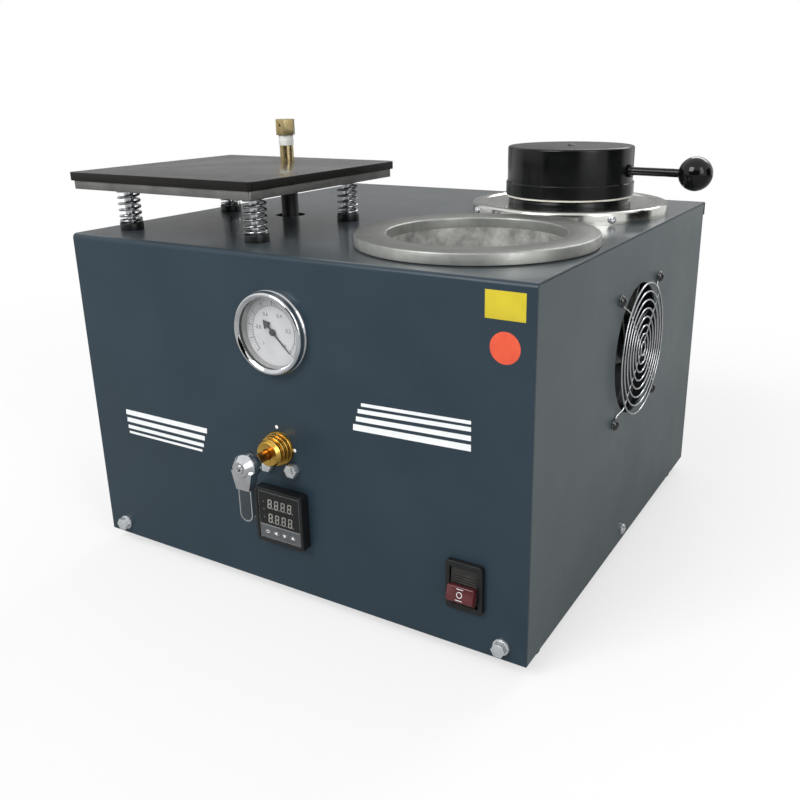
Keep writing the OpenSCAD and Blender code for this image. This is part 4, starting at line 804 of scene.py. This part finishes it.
def valveFront():
    bonnet = placed(turned("valveBonnet", valve["bonnet"], steps=96, closed=True),
                    onFront(*valve["centre"]))
    dressed(bonnet, brass, "case", "brass", "valve_bonnet")
    refined("valveLever", "valve_lever", chrome, "lever", "chrome", edge=1.6, segments=5)
    refined("leverSleeve", "lever_sleeve", sleevePlastic, "lever", "rubber", edge=0.7, segments=4)
    refined("leverScrew", "lever_screw", chrome, "lever", "chrome", edge=0.4)
    refined("hexBolts", "hex_bolts", zinc, "case", "plated_steel", edge=0.3, segments=2)
    refined("panScrews", "pan_screws", zinc, "case", "plated_steel", edge=0.25, segments=2)


valveFront()
print("valve made")


# temperature controller: places across and up from its middle; a digit is its width, its height
# and the width of a bar, and the bars end short of its outline by shares of that width
controller = {
    "centre": (215, 68.5), "face": 8.0, "rows": (10.6, -2.2), "firstDigit": -9.2, "digits": 4,
    "digitPitch": 6.7, "digit": (4.1, 8.2, 0.95), "barShort": (0.9, 0.75), "lean": 5,
    "pointSize": 0.8, "pointAt": 0.72, "print": 0.05, "printLift": 0.03,
    "line": 20.6, "lineWidth": 0.4, "lineThickness": 0.1, "divider": -9.0, "dividerWidths": 1.8,
    "strip": (-20.8, -9.3), "stripReach": 20.7, "stripThickness": 0.06,
    "lampsAt": -15.6, "lamps": (11.6, 4.8, -2.2), "lamp": [(0.9, -0.05), (0.85, 0.05), (pole, 0.09)],
    "keyPlaces": (-12.9, -4.3, 4.3, 12.9), "keyHeight": -15.0, "keySize": (6.7, 3.9),
    "keyFront": 8.2, "arrowTurns": {"key_shift": 90, "key_down": 180, "key_up": 0},
    "arrow": [(1.9, 0), (1.9, 0.06), (pole, 0.06)],
    "round": [(1.5, 0), (1.5, 0.06), (1.1, 0.06), (1.1, 0)],
}


def onController(u, v, out):
    x, z = controller["centre"]
    return onFront(x + u, z + v, out)


def digitBars(u, v):
    made = controller
    width, height, bar = made["digit"]
    acrossShort, uprightShort = made["barShort"]
    half, side, size = height / 2, width / 2, made["pointSize"]
    shapes = [(0, y, width - bar * acrossShort, bar) for y in (-half + bar / 2, 0, half - bar / 2)]
    shapes += [(x, y, bar, half - bar * uprightShort) for x in (-side + bar / 2, side - bar / 2)
               for y in (-half / 2, half / 2)]
    lean = Matrix(((1, math.tan(math.radians(made["lean"])), 0, 0), (0, 1, 0, 0),
                   (0, 0, 1, 0), (0, 0, 0, 1)))
    place = onController(u, v, made["face"] + made["printLift"])
    bars = [placed(boxed("bar", (wide, tall, made["print"]), (x, y, 0)), place @ lean)
            for x, y, wide, tall in shapes]
    point = boxed("point", (size, size, made["print"]), (width * made["pointAt"], -half + size / 2, 0))
    return bars + [placed(point, place)]


def flatPieces(name, shapes, thick):  # thin patches on the controller's face
    place = onController(0, 0, controller["face"] + thick / 2)
    return [placed(boxed(name, (wide, tall, thick), (u, v, 0)), place) for u, v, wide, tall in shapes]


def keyStrip():  # the grey strip, open where the keys come through
    made = controller
    low, high = made["strip"]
    keyWide, keyTall = made["keySize"]
    middle, reach = made["keyHeight"], made["stripReach"]
    above, below = middle + keyTall / 2, middle - keyTall / 2
    shapes = [(0, (high + above) / 2, 2 * reach, high - above),
              (0, (low + below) / 2, 2 * reach, below - low)]
    sides = [u + side * keyWide / 2 for u in made["keyPlaces"] for side in (-1, 1)]
    edges = [-reach] + sides + [reach]
    for left, right in zip(edges[::2], edges[1::2]):
        shapes.append(((left + right) / 2, middle, right - left, keyTall))
    return joined("keyStrip", flatPieces("strip", shapes, made["stripThickness"]))


def foilLines():
    made = controller
    reach, wide = made["line"], made["lineWidth"]
    shapes = [(0, reach, 2 * reach + wide, wide), (0, -reach, 2 * reach + wide, wide),
              (-reach, 0, wide, 2 * reach), (reach, 0, wide, 2 * reach),
              (0, made["divider"], 2 * reach, made["dividerWidths"] * wide)]
    return joined("foilLines", flatPieces("line", shapes, made["lineThickness"]))


def controllerKeys():
    made = controller
    for key, u in zip(("key_set", "key_shift", "key_down", "key_up"), made["keyPlaces"]):
        body = key.replace("key_", "") + "_key"
        refined(key.replace("_", "") + "Cap", key, keyPlastic, body, "key_plastic", edge=0.25, segments=2)
        place = onController(u, made["keyHeight"], made["keyFront"])
        if key in made["arrowTurns"]:
            mark = turned("mark", made["arrow"], steps=3)
            place = place @ Matrix.Rotation(math.radians(made["arrowTurns"][key]), 4, "Z")
        else:
            mark = turned("mark", made["round"], steps=32, closed=True)
        dressed(placed(mark, place), whiteInk, body, "dial_enamel")
        mark.name = body.replace("_", "") + "Mark"


def controllerFront():
    made = controller
    refined("controllerCase", "controller_case", caseAbs, "case", "black_plastic", edge=0.35, segments=2)
    bars = []
    for v in made["rows"]:
        for i in range(made["digits"]):
            bars += digitBars(made["firstDigit"] + i * made["digitPitch"], v)
    dressed(joined("displayDigits", bars), segmentGrey, "case", "window_plastic")
    dressed(keyStrip(), stripFilm, "case", "aluminium")
    dressed(foilLines(), frameFoil, "case", "chrome")
    lamps = [placed(turned("lamp", made["lamp"], steps=32),
                    onController(made["lampsAt"], v, made["face"])) for v in made["lamps"]]
    dressed(joined("indicatorLamps", lamps), lampOff, "case", "glass")
    controllerKeys()


controllerFront()
print("controller made")


# rocker switch: the rocker's two faces slope from its middle, and it rests tilted
rocker = {
    "centre": (381, 53.5), "pivotOut": -3, "tilt": -9, "slope": -6.5, "lensAt": (-6.2, 10.4),
    "lens": (21.6, 14.4, 6.4), "lensEdge": 0.7, "lensDraft": 2.7,
    "ridges": (1.6, 3.8, 6.0, 8.2), "ridge": (20.6, 0.9, 1.0), "ridgeEdge": 0.3, "ridgeOut": 0.1,
    "ridgeFace": 6.5, "ring": [(2.3, 0), (2.3, 0.07), (1.85, 0.07), (1.85, 0)], "ringAt": 1.2,
    "bar": (5.4, 0.45, 0.07), "bars": (5.4, -2.9), "barLift": 0.03,
}


def onRocker(across, out, slope):
    x, z = rocker["centre"]
    return (onFront(x, z, rocker["pivotOut"]) @ Matrix.Rotation(math.radians(rocker["tilt"]), 4, "X")
            @ Matrix.Translation((0, across * mm, out * mm))
            @ Matrix.Rotation(math.radians(slope), 4, "X"))


def lensBlock(face):  # its outer face is drawn in at the lower edge
    lens = boxed("rockerLens", rocker["lens"], edge=rocker["lensEdge"])
    for vertex in lens.data.vertices:
        if vertex.co.z > 0 and vertex.co.y < 0:
            vertex.co.y += rocker["lensDraft"] * mm
    return placed(lens, face)


def rockerRidges():  # finger ridges across the upper half
    upper = onRocker(0, rocker["ridgeFace"], -rocker["slope"])
    return joined("rockerRidges", [
        placed(boxed("ridge", rocker["ridge"], (0, v, rocker["ridgeOut"]), rocker["ridgeEdge"]), upper)
        for v in rocker["ridges"]])


def rockerPrints(face):
    top = rocker["lens"][2] / 2
    ring = turned("ring", rocker["ring"], steps=48, closed=True)
    prints = [placed(ring, face @ Matrix.Translation((0, rocker["ringAt"] * mm, top * mm)))]
    level = face @ Matrix.Translation((0, 0, (top + rocker["barLift"]) * mm))
    prints += [placed(boxed("bar", rocker["bar"], (0, v, 0)), level) for v in rocker["bars"]]
    return joined("rockerMarks", prints)


def rockerSwitch():
    refined("switchHousing", "switch_housing", caseAbs, "case", "black_plastic", edge=0.8, segments=4)
    refined("rockerBody", "switch_rocker", rockerPlastic, "rocker", "red_plastic", edge=0.5)
    face = onRocker(*rocker["lensAt"], rocker["slope"])
    dressed(lensBlock(face), lensRed, "rocker", "red_plastic")
    dressed(rockerRidges(), rockerPlastic, "rocker", "black_plastic")
    dressed(rockerPrints(face), whiteInk, "rocker", "dial_enamel")


rockerSwitch()
print("switch made")


# the fan's wire guard: rings on four legs; a leg's points are reach and height over the side,
# and it ends in an eye round its screw
fan = {
    "centre": (220.5, 182), "wire": 0.8, "rings": 8, "first": 6, "last": 56.7, "ringOut": 5.76,
    "leg": [(5, 4.8), (56, 4.8), (58.6, 4.7), (61.2, 3.6), (64.5, 1.6), (66.5, 0.9), (69.65, 0.8)],
    "legTurns": (45, 135, 225, 315), "eyeAt": 74.25, "eyeReach": 3.0,
}


def guardRings(centre):
    made = fan
    wire = made["wire"]
    rings = []
    for i in range(made["rings"]):
        radius = made["first"] + (made["last"] - made["first"]) * i / (made["rings"] - 1)
        section = [(radius + wire * math.cos(math.radians(a)),
                    made["ringOut"] + wire * math.sin(math.radians(a))) for a in range(0, 360, 30)]
        ring = turned("ring", section, steps=96, closed=True, smooth=making["tubeSmooth"])
        rings.append(placed(ring, centre))
    return rings


def guardLegs(centre):
    made = fan
    path = [(reach, 0, out) for reach, out in made["leg"]]
    path += [(made["eyeAt"] + made["eyeReach"] * math.cos(math.radians(a)),
              made["eyeReach"] * math.sin(math.radians(a)), made["wire"])
             for a in range(180, 521, 20)]
    return [placed(tubeAlong("leg", path, made["wire"], sides=3),
                   centre @ Matrix.Rotation(math.radians(turn), 4, "Z")) for turn in made["legTurns"]]


def fanGuard():
    centre = onRight(*fan["centre"])
    wires = joined("guardWires", guardRings(centre) + guardLegs(centre))
    dressed(wires, wireChrome, "case", "chrome", "fan_guard")


fanGuard()
print("fan guard made")


# the photograph's camera, fitted to the case's edges
view = {
    "at": (634.4, -485.6, 399.4), "forward": (-0.4824, 0.8151, -0.3207),
    "right": (0.8626, 0.5057, -0.0123), "sensor": 36, "lens": 38.89, "shift": (-0.0291, -0.0294),
    "clip": (0.01, 50),
}


def photoCamera():
    data = bpy.data.cameras.new("photoCamera")
    data.sensor_width = view["sensor"]
    data.lens = view["lens"]
    data.shift_x, data.shift_y = view["shift"]
    data.clip_start, data.clip_end = view["clip"]
    camera = bpy.data.objects.new("photoCamera", data)
    bpy.context.scene.collection.objects.link(camera)
    forward = Vector(view["forward"]).normalized()
    right = Vector(view["right"])
    right = (right - forward * right.dot(forward)).normalized()
    up = right.cross(forward)
    turn = Matrix((right, up, -forward)).transposed().to_4x4()
    camera.matrix_world = onCase(*view["at"]) @ turn
    bpy.context.scene.camera = camera
    bpy.context.scene.view_settings.view_transform = "Standard"


# soft lamps, a white world, cards and a pale floor, in metres from the part's origin: a lamp is
# its place, its aim, its size and its watts, and a card has its tone in place of the watts
studio = {
    "world": (0.45, 1.0), "floorTone": "#f4f4f4", "floorReach": 6.0, "fade": (0.45, 1.3),
    "fadeShares": (0.62, 1.0),
    "lamps": {
        "keyLamp": ((-0.5, -1.8, 1.7), (0, 0, 0.15), (1.2, 1.2), 38),
        "fillLamp": ((1.9, -1.0, 1.3), (0, 0, 0.15), (0.8, 1.6), 14),
        "backLamp": ((0.2, 1.9, 1.6), (0, 0, 0.2), (1.8, 0.8), 22),
    },
    "cards": {
        "floorFlag": ((0, 0, 0.001), (0, 0, -1), (5, 5), "#b4b4b4"),
        "frontFlag": ((0.3, -2.4, 0.9), (0, 0, 0.5), (3.4, 1.6), "#0b0b0b"),
        "rightFlag": ((2.5, 0.9, 0.7), (0, 0, 0.4), (1.8, 1.4), "#0b0b0b"),
        "backFlag": ((-1.4, 2.6, 0.9), (0, 0, 0.5), (4.6, 1.7), "#b0b0b0"),
    },
}


def aimed(at, aim):  # a place whose local -Z looks at another place
    reach = Vector(aim) - Vector(at)
    return Matrix.Translation(at) @ reach.to_track_quat("-Z", "Y").to_matrix().to_4x4()


def softLamp(name, at, aim, size, watts):
    data = bpy.data.lights.new(name, "AREA")
    data.shape = "RECTANGLE"
    data.size, data.size_y = size
    data.energy = watts
    piece = bpy.data.objects.new(name, data)
    bpy.context.scene.collection.objects.link(piece)
    piece.matrix_world = aimed(at, aim)


# white to the camera and in reflections, softer as a lamp
def studioWorld():
    world = bpy.data.worlds.new("studio")
    bpy.context.scene.world = world
    world.use_nodes = True
    tree = world.node_tree
    path = addNode(tree, "ShaderNodeLightPath")
    seen = addNode(tree, "ShaderNodeMath", {0: path.outputs["Is Camera Ray"],
                   1: path.outputs["Is Transmission Ray"]}, operation="MAXIMUM")
    seen = addNode(tree, "ShaderNodeMath", {0: seen.outputs[0],
                   1: path.outputs["Is Glossy Ray"]}, operation="MAXIMUM")
    strength = addNode(tree, "ShaderNodeMapRange", {"Value": seen.outputs[0],
                       "To Min": studio["world"][0], "To Max": studio["world"][1]})
    back = tree.nodes["Background"]
    back.inputs["Color"].default_value = (1, 1, 1, 1)
    tree.links.new(strength.outputs[0], back.inputs["Strength"])


# a card that only reflections see: it keeps black paint black and gives chrome its edges
def toneCard(name, at, aim, size, tone):
    deselectAll()
    bpy.ops.mesh.primitive_plane_add(size=1)
    card = bpy.context.object
    card.name = name
    placed(card, aimed(at, aim) @ Matrix.Diagonal((*size, 1, 1)))
    material = bpy.data.materials.new("matt flag cloth")
    material.use_nodes = True
    base = material.node_tree.nodes["Principled BSDF"]
    base.inputs["Base Color"].default_value = linear(tone)
    base.inputs["Roughness"].default_value = 1.0
    base.inputs["Specular IOR Level"].default_value = 0.0
    card.data.materials.append(material)
    card.visible_camera = card.visible_diffuse = card.visible_shadow = False
    card.visible_transmission = card.visible_volume_scatter = False


# matt paper with the object's shadow near it, and white to the camera further out
def paleFloor():
    deselectAll()
    bpy.ops.mesh.primitive_circle_add(vertices=96, radius=studio["floorReach"], fill_type="NGON")
    floor = bpy.context.object
    floor.name = "floor"
    material = bpy.data.materials.new("matt white paper")
    material.use_nodes = True
    tree = material.node_tree
    base = tree.nodes["Principled BSDF"]
    base.inputs["Base Color"].default_value = linear(studio["floorTone"])
    base.inputs["Roughness"].default_value = 0.9
    base.inputs["Specular IOR Level"].default_value = 0.1
    path = addNode(tree, "ShaderNodeLightPath")
    lit = addNode(tree, "ShaderNodeEmission", {"Color": (1, 1, 1, 1), "Strength": 1.0})
    share = addNode(tree, "ShaderNodeMath", {0: path.outputs["Is Camera Ray"],
                    1: path.outputs["Is Glossy Ray"]}, operation="MAXIMUM")
    place = addNode(tree, "ShaderNodeTexCoord").outputs["Object"]
    reach = addNode(tree, "ShaderNodeVectorMath", {0: place}, operation="LENGTH")
    near, far = studio["fade"]
    least, most = studio["fadeShares"]
    fade = addNode(tree, "ShaderNodeMapRange", {"Value": reach.outputs["Value"], "From Min": near,
                   "From Max": far, "To Min": least, "To Max": most})
    part = addNode(tree, "ShaderNodeMath", {0: share.outputs[0], 1: fade.outputs[0]},
                   operation="MULTIPLY")
    both = addNode(tree, "ShaderNodeMixShader", {0: part.outputs[0], 1: base.outputs[0],
                   2: lit.outputs[0]})
    tree.links.new(both.outputs[0], tree.nodes["Material Output"].inputs["Surface"])
    floor.data.materials.append(material)


photoCamera()
paleFloor()
studioWorld()
for name, (at, aim, size, watts) in studio["lamps"].items():
    softLamp(name, at, aim, size, watts)
for name, (at, aim, size, tone) in studio["cards"].items():
    toneCard(name, at, aim, size, tone)
print("camera, floor and lamps made")
